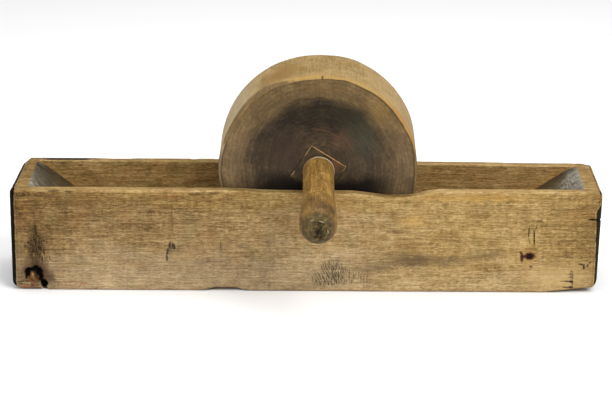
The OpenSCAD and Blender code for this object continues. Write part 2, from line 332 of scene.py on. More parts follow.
def make_trough(wood):
    """The dug-out baulk: hand-worked faces, worn rims, and the knot hole, gouge, split and cracks."""
    grid, role, (top_f, top_r, ramp) = trough_grid()
    flat = grid.copy()
    x, y, z = (flat[..., k] for k in range(3))
    out = facing(grid, False)
    rolling = lumps(flat, (0.090, 0.035, 0.035), 1) * 0.5 + 0.5
    hewn = lumps(flat, (0.022, 0.011, 0.011), 2) * 0.5 + 0.5
    fine = lumps(flat, (0.006, 0.003, 0.003), 3) * 0.5 + 0.5
    inner = np.isin(role, ["wall", "foot", "floor"])[None]
    rims = np.isin(role, ["rim", "arris"])[None]
    ends = rise(np.abs(x), LENGTH / 2 - 0.014, LENGTH / 2 - END_EDGE)
    relief = np.where(inner, 0.00045 * rolling + 0.00035 * hewn + 0.0001 * fine,
                      0.00050 * rolling + 0.00022 * hewn + 0.00010 * fine)
    chipped = np.maximum(0, lumps(flat, (0.013, 0.006, 0.006), 4) - 0.25)
    relief = np.where(rims, 0.00012 * (rolling + hewn) + 0.0009 * chipped * (role == "arris")[None], relief)
    relief = relief * (1 - 0.7 * ends)
    on_front = ((role == "front") | (role == "low"))[None] * (y < 0)
    hole = knot_hole(flat) * on_front
    cut = gouge(x, z) * on_front
    split = 0.0030 * np.exp(-((x + 0.3265) / 0.0012) ** 2) * rise(z, 0.108, 0.114) * (y < -0.05)
    check = 0.0010 * np.exp(-((z - 0.0862) / 0.0009) ** 2) * rise(x, 0.312, 0.318)
    crack_l = 0.0007 * stroke(x, z, (0.2490, 0.0790), (0.2485, 0.0620), 0.0008)
    crack_r = 0.0007 * stroke(x, z, (0.2560, 0.0790), (0.2548, 0.0530), 0.0008)
    check = np.maximum(check, np.maximum(crack_l, crack_r)) * on_front
    grid = grid - out * (relief + hole + cut + split + check)[..., None]
    grid[..., 2] = np.maximum(grid[..., 2], 0)
    low_share = 1 - z / HEIGHT
    grid[..., 0] -= 0.0036 * rise(x, 0.24, 0.32) * low_share - 0.0004 * (1 - rise(x, -0.32, -0.24)) * low_share
    edge_f = np.minimum(np.hypot(y + WIDTH / 2, z - top_f), np.hypot(y + HALF_HOLLOW, z - top_f))
    edge_r = np.minimum(np.hypot(y - WIDTH / 2, z - top_r), np.hypot(y - HALF_HOLLOW, z - top_r))
    low = np.hypot(np.abs(y) - WIDTH / 2, z - front_lift(x))
    sloping = rise(ramp, FLOOR_Z + 0.004, FLOOR_Z + 0.016)
    marks = {
        "edge": np.exp(-(np.minimum(edge_f, edge_r) / 0.0026) ** 2),
        "low_edge": np.exp(-(low / 0.0030) ** 2),
        "hole": np.clip(hole / 0.0036, 0, 1) + np.clip(split / 0.002, 0, 1)
        + np.clip(check / 0.0012, 0, 1),
        "inside": np.broadcast_to(inner, x.shape) * rise(HEIGHT - 0.0008 - z, 0, 0.0016),
        "ramp": (np.isin(role, ["floor", "foot"])[None] * sloping
                 * (1 - rise(np.abs(x), LENGTH / 2 - END_T - 0.0015, LENGTH / 2 - END_T + 0.0015))),
        "over_ramp": (role == "wall")[None] * sloping * np.exp(-((z - ramp) / 0.0052) ** 2),
        "end_gap": LENGTH / 2 - np.abs(x),
    }
    caps = np.array([0.985, 0.94, 0.87, 0.78, 0.66, 0.52, 0.37, 0.2])
    for side in (0, -1):
        last = grid[side]
        middle = np.array([last[:, 0].mean(), 0, HEIGHT / 2])
        share = caps[:, None, None]
        loops = middle + (last[None] - middle) * share
        bow = 0.0003 * (1 + lumps(loops, (0.02, 0.012, 0.012), 5)) * (1 - caps[:, None])
        loops[..., 0] += bow if side == 0 else -bow
        grid = np.concatenate([loops[::-1], grid] if side == 0 else [grid, loops])
        for key in marks:
            extra = np.zeros((len(caps), grid.shape[1]))
            marks[key] = np.concatenate([extra, marks[key]] if side == 0 else [marks[key], extra])
    make_piece("trough_baulk", grid, marks, "trough", ["trough"], wood, False)


# ---- Turned and leaning pieces ----
def on_spindle(local):
    """Leans a grid with its spindle along Y about X, and sets its middle at the wheel's centre."""
    c, s = math.cos(LEAN), math.sin(LEAN)
    x, y, z = (local[..., k] for k in range(3))
    return np.stack([x, y * c - z * s, y * s + z * c], -1) + np.array(WHEEL_AT)


def box_reach(angle, w, h, turn):
    """Distance from the middle of a turned rectangle to its outline at each angle."""
    a = angle + turn
    return np.minimum(w / 2 / np.maximum(np.abs(np.cos(a)), 1e-9), h / 2 / np.maximum(np.abs(np.sin(a)), 1e-9))


def block_angles(count):
    """Angles that include the four corners of the block, evenly spread between them."""
    c = math.atan2(BLOCK_H, BLOCK_W)
    corners = np.array([-c, c, math.pi - c, math.pi + c, 2 * math.pi - c]) - BLOCK_TURN
    return np.concatenate([np.linspace(p, q, count // 4, endpoint=False) for p, q in zip(corners, corners[1:])])


def make_wheel(wood):
    """A ring round the square hole. Its profile runs out over the rear face, round the worn edge,
    over the tread to the front edge, in over the front face and back through the hole."""
    angle = block_angles(520)[:, None]
    hole_r = box_reach(angle, BLOCK_W, BLOCK_H, BLOCK_TURN)
    ring = np.stack([np.cos(angle) * 0.1, np.full_like(angle, 0), np.sin(angle) * 0.1], -1)
    turn = np.degrees(angle) % 360
    upper_left = rise(turn, 108, 122) * (1 - rise(turn, 150, 168))
    upper_right = rise(turn, 4, 20) * (1 - rise(turn, 64, 84))
    radius = WHEEL_R + 0.0022 * np.exp(-((turn - 178) / 22) ** 2) + 0.0007 * upper_left + 0.0011 * upper_right
    worn_f = WHEEL_EDGE + 0.0015 * lumps(ring, (0.026, 1, 0.026), 11) + 0.0004 * lumps(ring, (0.009, 1, 0.009), 15)
    worn_r = WHEEL_EDGE + 0.0015 * lumps(ring, (0.026, 1, 0.026), 12) + 0.0004 * lumps(ring, (0.009, 1, 0.009), 16)
    half = WHEEL_T / 2
    lip = 0.0006
    out_r, out_f = radius - worn_r, radius - worn_f
    face = (np.arange(42) / 42)[None]
    arc = (np.arange(8) / 8)[None] * math.pi / 2
    tread = (np.arange(34) / 34)[None]
    soft = (np.arange(3) / 3)[None] * math.pi / 2
    runs = [
        ("rear", hole_r + lip + (out_r - hole_r - lip) * face, half + 0 * face),
        ("edge", out_r + worn_r * np.sin(arc), half - worn_r * (1 - np.cos(arc))),
        ("tread", radius + 0 * tread, (half - worn_r) + (worn_f - half - half + worn_r) * tread),
        ("edge", out_f + worn_f * np.cos(arc), -half + worn_f * (1 - np.sin(arc))),
        ("front", out_f + (hole_r + lip - out_f) * face, -half + 0 * face),
        ("lip", hole_r + lip * (1 - np.sin(soft)), -half + lip * (1 - np.cos(soft))),
        ("hole", hole_r + 0 * face[:, :6], -half + lip + (2 * half - 2 * lip) * (np.arange(6) / 6)[None]),
        ("lip", hole_r + lip * (1 - np.cos(soft)), half - lip * (1 - np.sin(soft))),
    ]
    role = np.concatenate([[kind] * rho.shape[1] for kind, rho, _ in runs])
    rho = np.concatenate([np.broadcast_to(r_, (len(angle), r_.shape[1])) for _, r_, _ in runs], 1)
    y = np.concatenate([np.broadcast_to(y_, (len(angle), r_.shape[1])) for _, r_, y_ in runs], 1)
    local = np.stack([rho * np.cos(angle), y, rho * np.sin(angle)], -1)
    out = facing(local, True)
    faces = np.isin(role, ["front", "rear"])[None]
    tread_ = np.isin(role, ["tread", "edge"])[None]
    sawn = 0.5 + 0.5 * lumps(local, (0.011, 0.02, 0.050), 13)
    broad = 0.5 + 0.5 * lumps(local, (0.035, 0.03, 0.035), 14)
    relief = faces * (0.00025 * sawn + 0.0004 * broad) + tread_ * (0.00035 * broad + 0.00015 * sawn)
    check_turn = (angle - math.radians(88.1) + math.pi) % (2 * math.pi) - math.pi
    check = np.exp(-(check_turn * WHEEL_R / 0.0008) ** 2) * rise(rho, 0.1045, 0.1075) * (y < -half + 0.0048)
    relief = relief + 0.0016 * check
    local = local - out * relief[..., None]
    worn_turn = rise(turn, 92, 124) * (1 - rise(turn, 156, 170))
    worn_far = 0.0040 + 0.0125 * rise(turn, 106, 128) * (1 - rise(turn, 134, 154))
    marks = {
        "worn": worn_turn * np.exp(-((y + half) / worn_far) ** 2) * tread_,
        "face": faces * 1.0 + (role == "lip")[None] * 1.0,
        "edge": np.isin(role, ["edge"])[None] * 1.0 * np.ones_like(rho),
        "line": np.exp(-((rho - np.where(y < 0, out_f, out_r) + 0.0002) / 0.0008) ** 2) * (np.abs(y) > half - 0.001),
        "crack": check,
    }
    make_piece("wheel_disc", on_spindle(local), marks, "roller", ["wheel"], wood, True)


def make_block(wood):
    """The block through the wheel: a ring between its bore and its bevelled square outside."""
    angle = block_angles(200)[:, None]
    reach = box_reach(angle, BLOCK_W - 0.0001, BLOCK_H - 0.0001, BLOCK_TURN)
    bevel = reach * BLOCK_BEVEL / (BLOCK_H / 2)
    half = WHEEL_T / 2
    face = (np.arange(26) / 26)[None]
    cut = (np.arange(4) / 4)[None]
    side = (np.arange(20) / 20)[None]
    runs = [
        (BORE_R + (reach - bevel - BORE_R) * face, half + 0 * face),
        (reach - bevel * (1 - cut), half - BLOCK_BEVEL * cut),
        (reach + 0 * side, half - BLOCK_BEVEL - (2 * half - 2 * BLOCK_BEVEL) * side),
        (reach - bevel * cut, -half + BLOCK_BEVEL * (1 - cut)),
        (reach - bevel + (BORE_R - reach + bevel) * face, -half + 0 * face),
        (BORE_R + 0 * side, -half + 2 * half * side),
    ]
    rho = np.concatenate([np.broadcast_to(r_, (len(angle), r_.shape[1])) for r_, _ in runs], 1)
    y = np.concatenate([np.broadcast_to(y_, (len(angle), r_.shape[1])) for r_, y_ in runs], 1)
    local = np.stack([rho * np.cos(angle), y, rho * np.sin(angle)], -1)
    out = facing(local, True)
    relief = 0.00012 * (1 + lumps(local, (0.006, 0.006, 0.006), 21)) * (rho > BORE_R + 0.001)
    local = local - out * relief[..., None]
    arris = np.exp(-((rho - (reach - bevel / 2)) / 0.0007) ** 2) * (np.abs(y) > half - BLOCK_BEVEL - 0.0006)
    make_piece("block", on_spindle(local), {"edge": arris}, "roller", ["hub_block"], wood, True)


def handle_profile():
    """Radius and distance from the root of a handle's outline, from the bore at the root to the bore at
    the tip: a rounded lip, a straight grip, a swell that is half a cosine wave, and a dome that is a
    quarter of an ellipse."""
    t = lambda n: np.arange(n) / n
    swell_l = HANDLE_L - KNOB_END_L - STRAIGHT_L
    mouth = math.asin(SPINDLE_R / KNOB_R)
    dome = math.pi / 2 - (math.pi / 2 - mouth) * t(34)
    lip = 0.003
    runs = [
        (SPINDLE_R + (GRIP_R - 0.0003 - SPINDLE_R) * t(10), 0 * t(10)),
        (GRIP_R - 0.0003 + 0.0009 * np.sin(t(9) * math.pi), 0.0001 + lip * t(9)),
        (GRIP_R + 0 * t(44), lip + (STRAIGHT_L - lip) * t(44)),
        (GRIP_R + (KNOB_R - GRIP_R) * (1 - np.cos(math.pi * t(62))) / 2, STRAIGHT_L + swell_l * t(62)),
        (KNOB_R * np.sin(dome), HANDLE_L - KNOB_END_L + KNOB_END_L * np.cos(dome)),
    ]
    rho = np.concatenate([r_ for r_, _ in runs])
    s = np.concatenate([s_ for _, s_ in runs])
    back = HANDLE_L - KNOB_END_L + KNOB_END_L * math.cos(mouth)
    rho = np.concatenate([rho, np.full(16, SPINDLE_R)])
    s = np.concatenate([s, back * (1 - t(16))])
    return rho, s


def make_handle(side, name, node, wood, seed):
    """A turned handle with the marks of its turning and small dents."""
    rho, s = handle_profile()
    turn = np.linspace(0, 2 * math.pi, 240, endpoint=False)[:, None]
    inside = np.arange(len(rho)) >= len(rho) - 16
    x = rho[None] * np.cos(turn) * side
    local = np.stack([x, np.broadcast_to(side * (ROOT_Y + s), x.shape), rho[None] * np.sin(turn)], -1)
    out = facing(local, True)
    shown = (~inside)[None] * rise(rho, SPINDLE_R, SPINDLE_R + 0.001)[None]
    dents = 0.5 + 0.5 * lumps(local, (0.010, 0.030, 0.010), seed)
    small = np.maximum(0, lumps(local, (0.004, 0.009, 0.004), seed + 1) - 0.35)
    turned = 0.5 + 0.5 * np.sin(s / 0.0052 * 2 * math.pi)[None]
    relief = shown * (0.00032 * dents + 0.0004 * small + 0.00005 * turned)
    tip = np.exp(-((s - HANDLE_L + 0.002) / 0.006) ** 2)[None]
    relief = relief + shown * tip * 0.0006 * (1 + lumps(local, (0.0035, 0.0035, 0.0035), seed + 2))
    local = local - out * relief[..., None]
    marks = {
        "lip": (1 - rise(s, 0.0028, 0.0036))[None] * ((~inside) & (rho > GRIP_R - 0.001))[None] * np.ones_like(x),
        "along": np.broadcast_to(s[None], x.shape),
        "root": np.exp(-(s / 0.006) ** 2)[None] * np.ones_like(x),
    }
    make_piece(name, on_spindle(local), marks, "axle", [node], wood, True)


def dome_height(rho):
    """How far the knob's dome stands out at a distance from the spindle's middle."""
    return TIP_Y - KNOB_END_L + KNOB_END_L * np.sqrt(np.clip(1 - (rho / KNOB_R) ** 2, 0, 1))


def make_spindle(wood):
    """The round bar through both handles. Its ends follow the knobs' domes, a little worn, with a
    slot for each wedge, small checks and a torn middle."""
    disc = (np.arange(1, 27) / 26)
    turn = np.linspace(0, 2 * math.pi, 200, endpoint=False)[:, None]
    bar = np.linspace(1, -1, 60)[1:-1] * (dome_height(SPINDLE_R) - 0.0002)
    rho = np.concatenate([disc * SPINDLE_R, np.full(58, SPINDLE_R), disc[::-1] * SPINDLE_R])
    x, z = rho * np.cos(turn), rho * np.sin(turn)
    depth = np.zeros_like(x)
    for side, cols in ((1, slice(0, 26)), (-1, slice(-26, None))):
        u = x[:, cols] * math.cos(WEDGE_TURN) - z[:, cols] * math.sin(WEDGE_TURN)
        v = z[:, cols] * math.cos(WEDGE_TURN) + x[:, cols] * math.sin(WEDGE_TURN)
        slot = 0.0022 * (1 - rise(np.abs(u), WEDGE_T / 2 - 0.0004, WEDGE_T / 2))
        wavy = 0.0007 * np.sin(u / 0.0017) + 0.0004 * np.sin(u / 0.0006 + 1)
        across = 0.0012 * np.exp(-((v - 0.0026 - 0.25 * u - wavy) / 0.0006) ** 2) * (
            1 - rise(np.abs(u + 0.0010), 0.0030, 0.0062))
        torn = np.stack([x[:, cols], np.full_like(u, side * 0.2), z[:, cols]], -1)
        rough = 0.0006 * (1 + lumps(torn, (0.0026, 0.01, 0.0026), 41)) + 0.0002 * (
            1 + lumps(torn, (0.0011, 0.01, 0.0011), 42))
        depth[:, cols] = slot + across + rough
    y = np.concatenate([np.broadcast_to(dome_height(disc * SPINDLE_R), (200, 26)),
                        np.broadcast_to(bar, (200, 58)),
                        np.broadcast_to(-dome_height(disc[::-1] * SPINDLE_R), (200, 26))], 1)
    y = y - np.sign(y) * depth
    local = np.stack([x, y, z], -1).transpose(1, 0, 2)[:, ::-1]
    marks = {"hole": np.clip(depth.T[:, ::-1] / 0.0022, 0, 1), "along": np.abs(local[..., 1]) - ROOT_Y}
    make_piece("spindle_bar", on_spindle(local), marks, "axle", ["spindle"], wood, False)


def make_wedge(side, name, node, wood):
    """A thin wedge in the spindle's end: a rounded flat section that thickens towards the mouth, where
    it is cut off to the dome and crushed a little."""
    turn = np.linspace(0, 2 * math.pi, 72, endpoint=False)[None]
    t = np.linspace(0, 1, 22)[:, None]
    wide = SPINDLE_R - 0.0002
    thick = (WEDGE_T / 8 + (WEDGE_T / 2 - WEDGE_T / 8) * t) - 0.0001
    power = lambda v: np.sign(v) * np.abs(v) ** 0.35
    shrink = np.concatenate([np.ones(22), [0.8, 0.55, 0.3, 0.12]])[:, None]
    thick = np.concatenate([thick, np.repeat(thick[-1:], 4, 0)])
    u = thick * power(np.cos(turn)) * shrink
    v = wide * power(np.sin(turn)) * shrink
    v = np.clip(v, -np.sqrt(wide ** 2 - u ** 2), np.sqrt(wide ** 2 - u ** 2))
    full = dome_height(np.hypot(u, v)) - 0.0005
    depth = np.concatenate([WEDGE_L * (1 - t), np.zeros((4, 1))])
    y = np.where(depth > 0, np.minimum(TIP_Y - depth, full), full)
    c, s = math.cos(WEDGE_TURN), math.sin(WEDGE_TURN)
    x, z = u * c + v * s, v * c - u * s
    local = np.stack([x, y * side, z], -1)
    crush = 0.00025 * (1 + lumps(local, (0.0012, 0.0012, 0.0012), 51))[..., None]
    local[..., 1:2] -= side * crush * (depth[..., None] < 0.002)
    if side > 0:
        local = local[:, ::-1]
    make_piece(name, on_spindle(local), {"along": np.broadcast_to(1 - depth / WEDGE_L, u.shape)}, "axle", [node],
               wood, False)


# ---- Shader nodes ----
def put(tree, kind, values=None, **settings):
    """Adds a node, makes its settings, and gives its inputs a number, a colour or another output."""
    node = tree.nodes.new(kind)
    for key, value in settings.items():
        setattr(node, key, value)
    for key, value in (values or {}).items():
        socket = node.inputs[key]
        if isinstance(value, bpy.types.NodeSocket):
            tree.links.new(value, socket)
        else:
            socket.default_value = value
    return node


def maths(tree, operation, *values, clamp=False):
    return put(tree, "ShaderNodeMath", dict(enumerate(values)), operation=operation, use_clamp=clamp).outputs[0]


def times(tree, *values):
    out = values[0]
    for value in values[1:]:
        out = maths(tree, "MULTIPLY", out, value)
    return out


def total(tree, start, *terms):
    """start plus each value times its weight."""
    for value, weight in terms:
        start = maths(tree, "MULTIPLY_ADD", value, weight, start)
    return start


def span(tree, value, low, high, to_low=0.0, to_high=1.0, soft=True):
    """Maps a range onto another and holds it at both ends."""
    return put(tree, "ShaderNodeMapRange", {"Value": value, "From Min": low, "From Max": high, "To Min": to_low,
                                            "To Max": to_high},
               interpolation_type="SMOOTHSTEP" if soft else "LINEAR").outputs["Result"]


def between(tree, value, a, b, c, d):
    """0 up to a, 1 from b to c, and 0 again from d."""
    return times(tree, span(tree, value, a, b), span(tree, value, d, c))


def tint(tree, factor, a, b, how="MIX"):
    """Blends colour b over colour a."""
    node = put(tree, "ShaderNodeMix", data_type="RGBA", blend_type=how, clamp_factor=True)
    for socket, value in ((node.inputs["Factor"], factor), (node.inputs[6], a), (node.inputs[7], b)):
        if isinstance(value, bpy.types.NodeSocket):
            tree.links.new(value, socket)
        else:
            socket.default_value = value
    return node.outputs[2]


def scaled(tree, place, factors, away=0.0):
    """Each coordinate times its factor, moved by away along all three."""
    return put(tree, "ShaderNodeVectorMath", {0: place, 1: factors, 2: (away, away, away)},
               operation="MULTIPLY_ADD").outputs[0]


def shift(tree, place, by):
    return put(tree, "ShaderNodeVectorMath", {0: place, 1: by}, operation="ADD").outputs[0]


def cells(tree, place, size, away=0.0, detail=2.0, rough=0.55, output="Fac"):
    """Noise from 0 to 1 whose swellings have the given size along X, Y and Z."""
    grid = scaled(tree, place, tuple(1 / s for s in size), away)
    return put(tree, "ShaderNodeTexNoise", {"Vector": grid, "Scale": 1.0, "Detail": detail, "Roughness": rough}
               ).outputs[output]


def shaken(tree, place, size, by, away=0.0, detail=2.0):
    """The place, shifted up to about by to and fro in all directions by noise."""
    colour = cells(tree, place, (size, size, size), away, detail, output="Color")
    return put(tree, "ShaderNodeVectorMath", {0: shift(tree, colour, (-0.5, -0.5, -0.5)), 1: (2 * by, 2 * by, 2 * by),
                                              2: place}, operation="MULTIPLY_ADD").outputs[0]


def parts_of(tree, place):
    return put(tree, "ShaderNodeSeparateXYZ", {0: place}).outputs


def srgb(*levels):
    """A colour given as 0-255 screen levels, as linear numbers."""
    c = np.array(levels) / 255
    linear = np.where(c <= 0.04045, c / 12.92, ((c + 0.055) / 1.055) ** 2.4)
    return (*[float(v) for v in linear], 1.0)


def shades(tree, tone, stops):
    """Looks a tone up in a row of colours, given as (tone, screen levels)."""
    node = put(tree, "ShaderNodeValToRGB", {"Fac": tone})
    row = node.color_ramp.elements
    while len(row) < len(stops):
        row.new(0.5)
    for element, (at, levels) in zip(row, stops):
        element.position = at
        element.color = srgb(*levels)
    return node.outputs["Color"]


def new_group(name, inputs, outputs):
    """An empty node group with named inputs (name, kind, default) and outputs (name, kind)."""
    kinds = {"float": "NodeSocketFloat", "vector": "NodeSocketVector", "colour": "NodeSocketColor"}
    tree = bpy.data.node_groups.new(name, "ShaderNodeTree")
    for label, kind, default in inputs:
        socket = tree.interface.new_socket(label, in_out="INPUT", socket_type=kinds[kind])
        if default is not None:
            socket.default_value = default
    for label, kind in outputs:
        tree.interface.new_socket(label, in_out="OUTPUT", socket_type=kinds[kind])
    return tree, tree.nodes.new("NodeGroupInput").outputs, tree.nodes.new("NodeGroupOutput").inputs


def use_group(tree, group, values):
    node = put(tree, "ShaderNodeGroup", node_tree=group)
    for key, value in values.items():
        if isinstance(value, bpy.types.NodeSocket):
            tree.links.new(value, node.inputs[key])
        else:
            node.inputs[key].default_value = value
    return node.outputs


def grain_group():
    """Weathered long grain along X. Tone swings round 0 and mixes short fine streaks, longer streaks,
    broad bands and round blotches. Pore marks thin dark dashes."""
    tree, given, out = new_group("long_grain", [("Place", "vector", None)],
                                 [("Tone", "float"), ("Fine", "float"), ("Pore", "float")])
    place = shaken(tree, given["Place"], 0.024, 0.0018)
    fine = cells(tree, place, (0.0048, 0.0011, 0.0011), detail=3.0, rough=0.68)
    line = cells(tree, place, (0.040, 0.0010, 0.0010), 2.4, 1.0)
    medium = cells(tree, place, (0.019, 0.0024, 0.0024), 3.1)
    broad = cells(tree, place, (0.060, 0.009, 0.009), 5.7)
    blotch = cells(tree, given["Place"], (0.015, 0.012, 0.012), 8.3, 4.0, 0.62)
    mottle = cells(tree, given["Place"], (0.0032, 0.0026, 0.0026), 9.9, 2.0)
    tone = total(tree, -0.5 * (0.92 + 0.56 + 0.20 + 0.32 + 0.40 + 0.18), (fine, 0.92), (line, 0.56), (medium, 0.20),
                 (broad, 0.32), (blotch, 0.40), (mottle, 0.18))
    pore = span(tree, cells(tree, place, (0.0075, 0.0010, 0.0010), 11.9, 1.0, 0.5), 0.60, 0.70)
    tree.links.new(tone, out["Tone"])
    tree.links.new(fine, out["Fine"])
    tree.links.new(pore, out["Pore"])
    return tree


def ring_group():
    """Growth rings round the X axis: a dark late line at the end of each year, and a tone per year."""
    tree, given, out = new_group("growth_rings", [("Place", "vector", None), ("Spacing", "float", 0.003),
                                                  ("Wander", "float", 0.004)], [("Late", "float"), ("Year", "float")])
    slow = cells(tree, given["Place"], (0.45, 0.14, 0.14))
    quick = cells(tree, given["Place"], (0.07, 0.017, 0.017), 4.0)
    far = put(tree, "ShaderNodeVectorMath", {0: scaled(tree, given["Place"], (0.0, 1.0, 1.0))},
              operation="LENGTH").outputs["Value"]
    bend = total(tree, -0.62, (slow, 1.0), (quick, 0.24))
    phase = maths(tree, "DIVIDE", maths(tree, "MULTIPLY_ADD", bend, given["Wander"], far), given["Spacing"])
    part = maths(tree, "FRACT", phase)
    late = times(tree, maths(tree, "POWER", part, 3.0), span(tree, part, 1.0, 0.93))
    year = put(tree, "ShaderNodeTexWhiteNoise", {"W": maths(tree, "FLOOR", phase)}, noise_dimensions="1D").outputs["Value"]
    tree.links.new(late, out["Late"])
    tree.links.new(year, out["Year"])
    return tree


def patch_group():
    """Ragged patches, for stains, dust and dirt: noise above a level, with a soft edge."""
    tree, given, out = new_group("patches", [("Place", "vector", None), ("Size", "float", 0.03),
                                             ("Level", "float", 0.5), ("Soft", "float", 0.1)], [("Mask", "float")])
    scale = maths(tree, "DIVIDE", 1.0, given["Size"])
    noise = put(tree, "ShaderNodeTexNoise", {"Vector": given["Place"], "Scale": scale, "Detail": 5.0,
                                             "Roughness": 0.6}).outputs["Fac"]
    high = maths(tree, "ADD", given["Level"], given["Soft"])
    tree.links.new(span(tree, noise, given["Level"], high), out["Mask"])
    return tree


def spot_group():
    """One placed mark in the XZ plane: an ellipse, turned, with a soft edge."""
    tree, given, out = new_group("spot", [("Place", "vector", None), ("Middle", "vector", None),
                                          ("Reach", "vector", None), ("Turn", "float", 0.0),
                                          ("Soft", "float", 0.5)], [("Mask", "float")])
    away = put(tree, "ShaderNodeVectorMath", {0: given["Place"], 1: given["Middle"]}, operation="SUBTRACT").outputs[0]
    turned = put(tree, "ShaderNodeVectorRotate", {"Vector": away, "Angle": given["Turn"]}, rotation_type="Y_AXIS")
    unit = put(tree, "ShaderNodeVectorMath", {0: turned.outputs[0], 1: given["Reach"]}, operation="DIVIDE").outputs[0]
    flat = put(tree, "ShaderNodeVectorMath", {0: scaled(tree, unit, (1.0, 0.0, 1.0))}, operation="LENGTH")
    low = maths(tree, "SUBTRACT", 1.0, given["Soft"])
    tree.links.new(span(tree, flat.outputs["Value"], 1.0, low), out["Mask"])
    return tree


def hack_group():
    """Rows of short slanted hacks side by side: the dark part of a wave that runs along X, broken off
    and set askew by noise."""
    tree, given, out = new_group("hacks", [("Place", "vector", None), ("Pitch", "float", 0.003),
                                           ("Slant", "float", 0.4)], [("Mask", "float")])
    x, _, z = parts_of(tree, given["Place"])
    askew = cells(tree, given["Place"], (0.007, 0.007, 0.007), 2.0)
    phase = total(tree, maths(tree, "DIVIDE", maths(tree, "MULTIPLY_ADD", z, given["Slant"], x), given["Pitch"]),
                  (askew, 1.6))
    off = maths(tree, "ABSOLUTE", maths(tree, "SUBTRACT", maths(tree, "FRACT", phase), 0.5))
    broken = span(tree, cells(tree, given["Place"], (0.0022, 0.0022, 0.0075), 7.0), 0.42, 0.54)
    tree.links.new(times(tree, span(tree, off, 0.38, 0.12), broken), out["Mask"])
    return tree


GRAIN, RINGS, PATCHES, SPOT, HACKS = grain_group(), ring_group(), patch_group(), spot_group(), hack_group()


def new_wood(name):
    """An empty material, its shader and its place on the object."""
    wood = bpy.data.materials.new(name)
    wood.use_nodes = True
    tree = wood.node_tree
    tree.nodes.clear()
    shader = put(tree, "ShaderNodeBsdfPrincipled")
    tree.links.new(shader.outputs[0], put(tree, "ShaderNodeOutputMaterial").inputs["Surface"])
    place = put(tree, "ShaderNodeTexCoord").outputs["Object"]
    return wood, tree, shader, place


def mark(tree, name):
    """Numbers per point that the mesh carries."""
    return put(tree, "ShaderNodeAttribute", attribute_name=name).outputs["Fac"]


def spot(tree, place, x, z, rx, rz, turn=0.0, soft=0.6):
    """A mark with its middle and reach given in mm and its turn in degrees, anticlockwise."""
    return use_group(tree, SPOT, {"Place": place, "Middle": (x / 1000, 0, z / 1000), "Reach": (rx / 1000, 1, rz / 1000),
                                  "Turn": math.radians(turn), "Soft": soft})["Mask"]


def patches(tree, place, size, level, soft=0.1):
    return use_group(tree, PATCHES, {"Place": place, "Size": size, "Level": level, "Soft": soft})["Mask"]


def paint(tree, base, near, wide, mask, rows, crumb=(0.0014, 0.0014, 0.0022)):
    """Lays marks over a colour. Each row has: kind, middle x, z, reach x, z, turn, strength and screen
    levels. Sharp marks are ragged on a small scale, broken ones are also crumbled by fine noise, and
    soft ones are ragged on a large scale."""
    crumbs = span(tree, cells(tree, near, crumb, 5.2), 0.40, 0.54)
    for kind, x, z, rx, rz, turn, strength, levels in rows:
        place, soft = (wide, 0.95) if kind == "soft" else (near, 0.55)
        factor = times(tree, spot(tree, place, x, z, rx, rz, turn, soft), strength, mask)
        if kind == "broken":
            factor = times(tree, factor, crumbs)
        base = tint(tree, factor, base, srgb(*levels))
    return base


def finish_wood(tree, shader, colour, rough, height, depth, shine=0.06):
    """Gives the shader its colour, roughness and fine relief. Old dry wood hardly mirrors."""
    bump = put(tree, "ShaderNodeBump", {"Height": height, "Strength": 1.0, "Distance": depth})
    for key, value in (("Base Color", colour), ("Roughness", rough), ("Normal", bump.outputs[0])):
        tree.links.new(value, shader.inputs[key])
    if isinstance(shine, bpy.types.NodeSocket):
        tree.links.new(shine, shader.inputs["Specular IOR Level"])
    else:
        shader.inputs["Specular IOR Level"].default_value = shine


# ---- Trough wood ----
PITH = (0.0, -0.012, -0.150)
BAULK_SHADES = ((0.0, (40, 28, 16)), (0.25, (78, 58, 34)), (0.45, (112, 88, 55)), (0.6, (136, 111, 72)),
                (0.8, (163, 138, 97)), (1.0, (188, 164, 122)))
SLOPE_SHADES = ((0.0, (18, 17, 14)), (0.3, (50, 46, 37)), (0.55, (90, 84, 71)), (0.8, (142, 137, 124)),
                (1.0, (186, 181, 168)))
FLAME = (  # the dark figure over the knot at the left
    ("soft", -303, 52, 18, 30, 0, 0.50, (82, 62, 34)),
    ("soft", -303, 46, 11, 23, 0, 0.62, (56, 41, 24)),
    ("soft", -303, 31, 19, 14, 0, 0.66, (58, 38, 22)),
    ("broken", -302, 52, 14, 25, 0, 0.74, (44, 33, 20)),
    ("sharp", -301.8, 70, 2.0, 12, 4, 0.80, (48, 36, 21)),
    ("broken", -304.2, 54, 4.6, 9, -6, 0.90, (38, 29, 19)),
    ("broken", -299.4, 60, 2.0, 11, 6, 0.85, (44, 33, 20)),
    ("broken", -309.0, 57, 5.0, 2.4, 28, 0.85, (46, 34, 20)),
    ("broken", -314.0, 53.5, 2.4, 5.6, -12, 0.80, (48, 36, 21)),
    ("broken", -307.2, 44, 2.6, 8, -22, 0.85, (46, 33, 20)),
    ("broken", -302.6, 45, 2.0, 9, 6, 0.85, (42, 30, 19)),
    ("broken", -297.4, 47, 2.8, 10, 8, 0.90, (40, 30, 18)),
    ("broken", -292.4, 43, 2.0, 10, 16, 0.85, (46, 34, 20)),
    ("broken", -295.4, 35, 2.0, 7, -4, 0.85, (44, 33, 20)),
    ("broken", -290.4, 34, 4.0, 2.0, -20, 0.75, (48, 35, 21)),
    ("broken", -288.0, 39, 1.6, 6, 30, 0.70, (54, 39, 23)),
    ("broken", -290.4, 56, 6.0, 1.6, -35, 0.60, (58, 44, 26)),
    ("broken", -300.2, 36, 2.0, 8, -10, 0.75, (46, 33, 20)),
    ("broken", -304.4, 40, 1.4, 5, 5, 0.70, (142, 106, 54)),
    ("broken", -294.6, 41, 1.0, 5, 12, 0.70, (150, 114, 58)),
    ("broken", -313.6, 45.5, 3.0, 2.0, 0, 0.60, (160, 124, 58)),
)
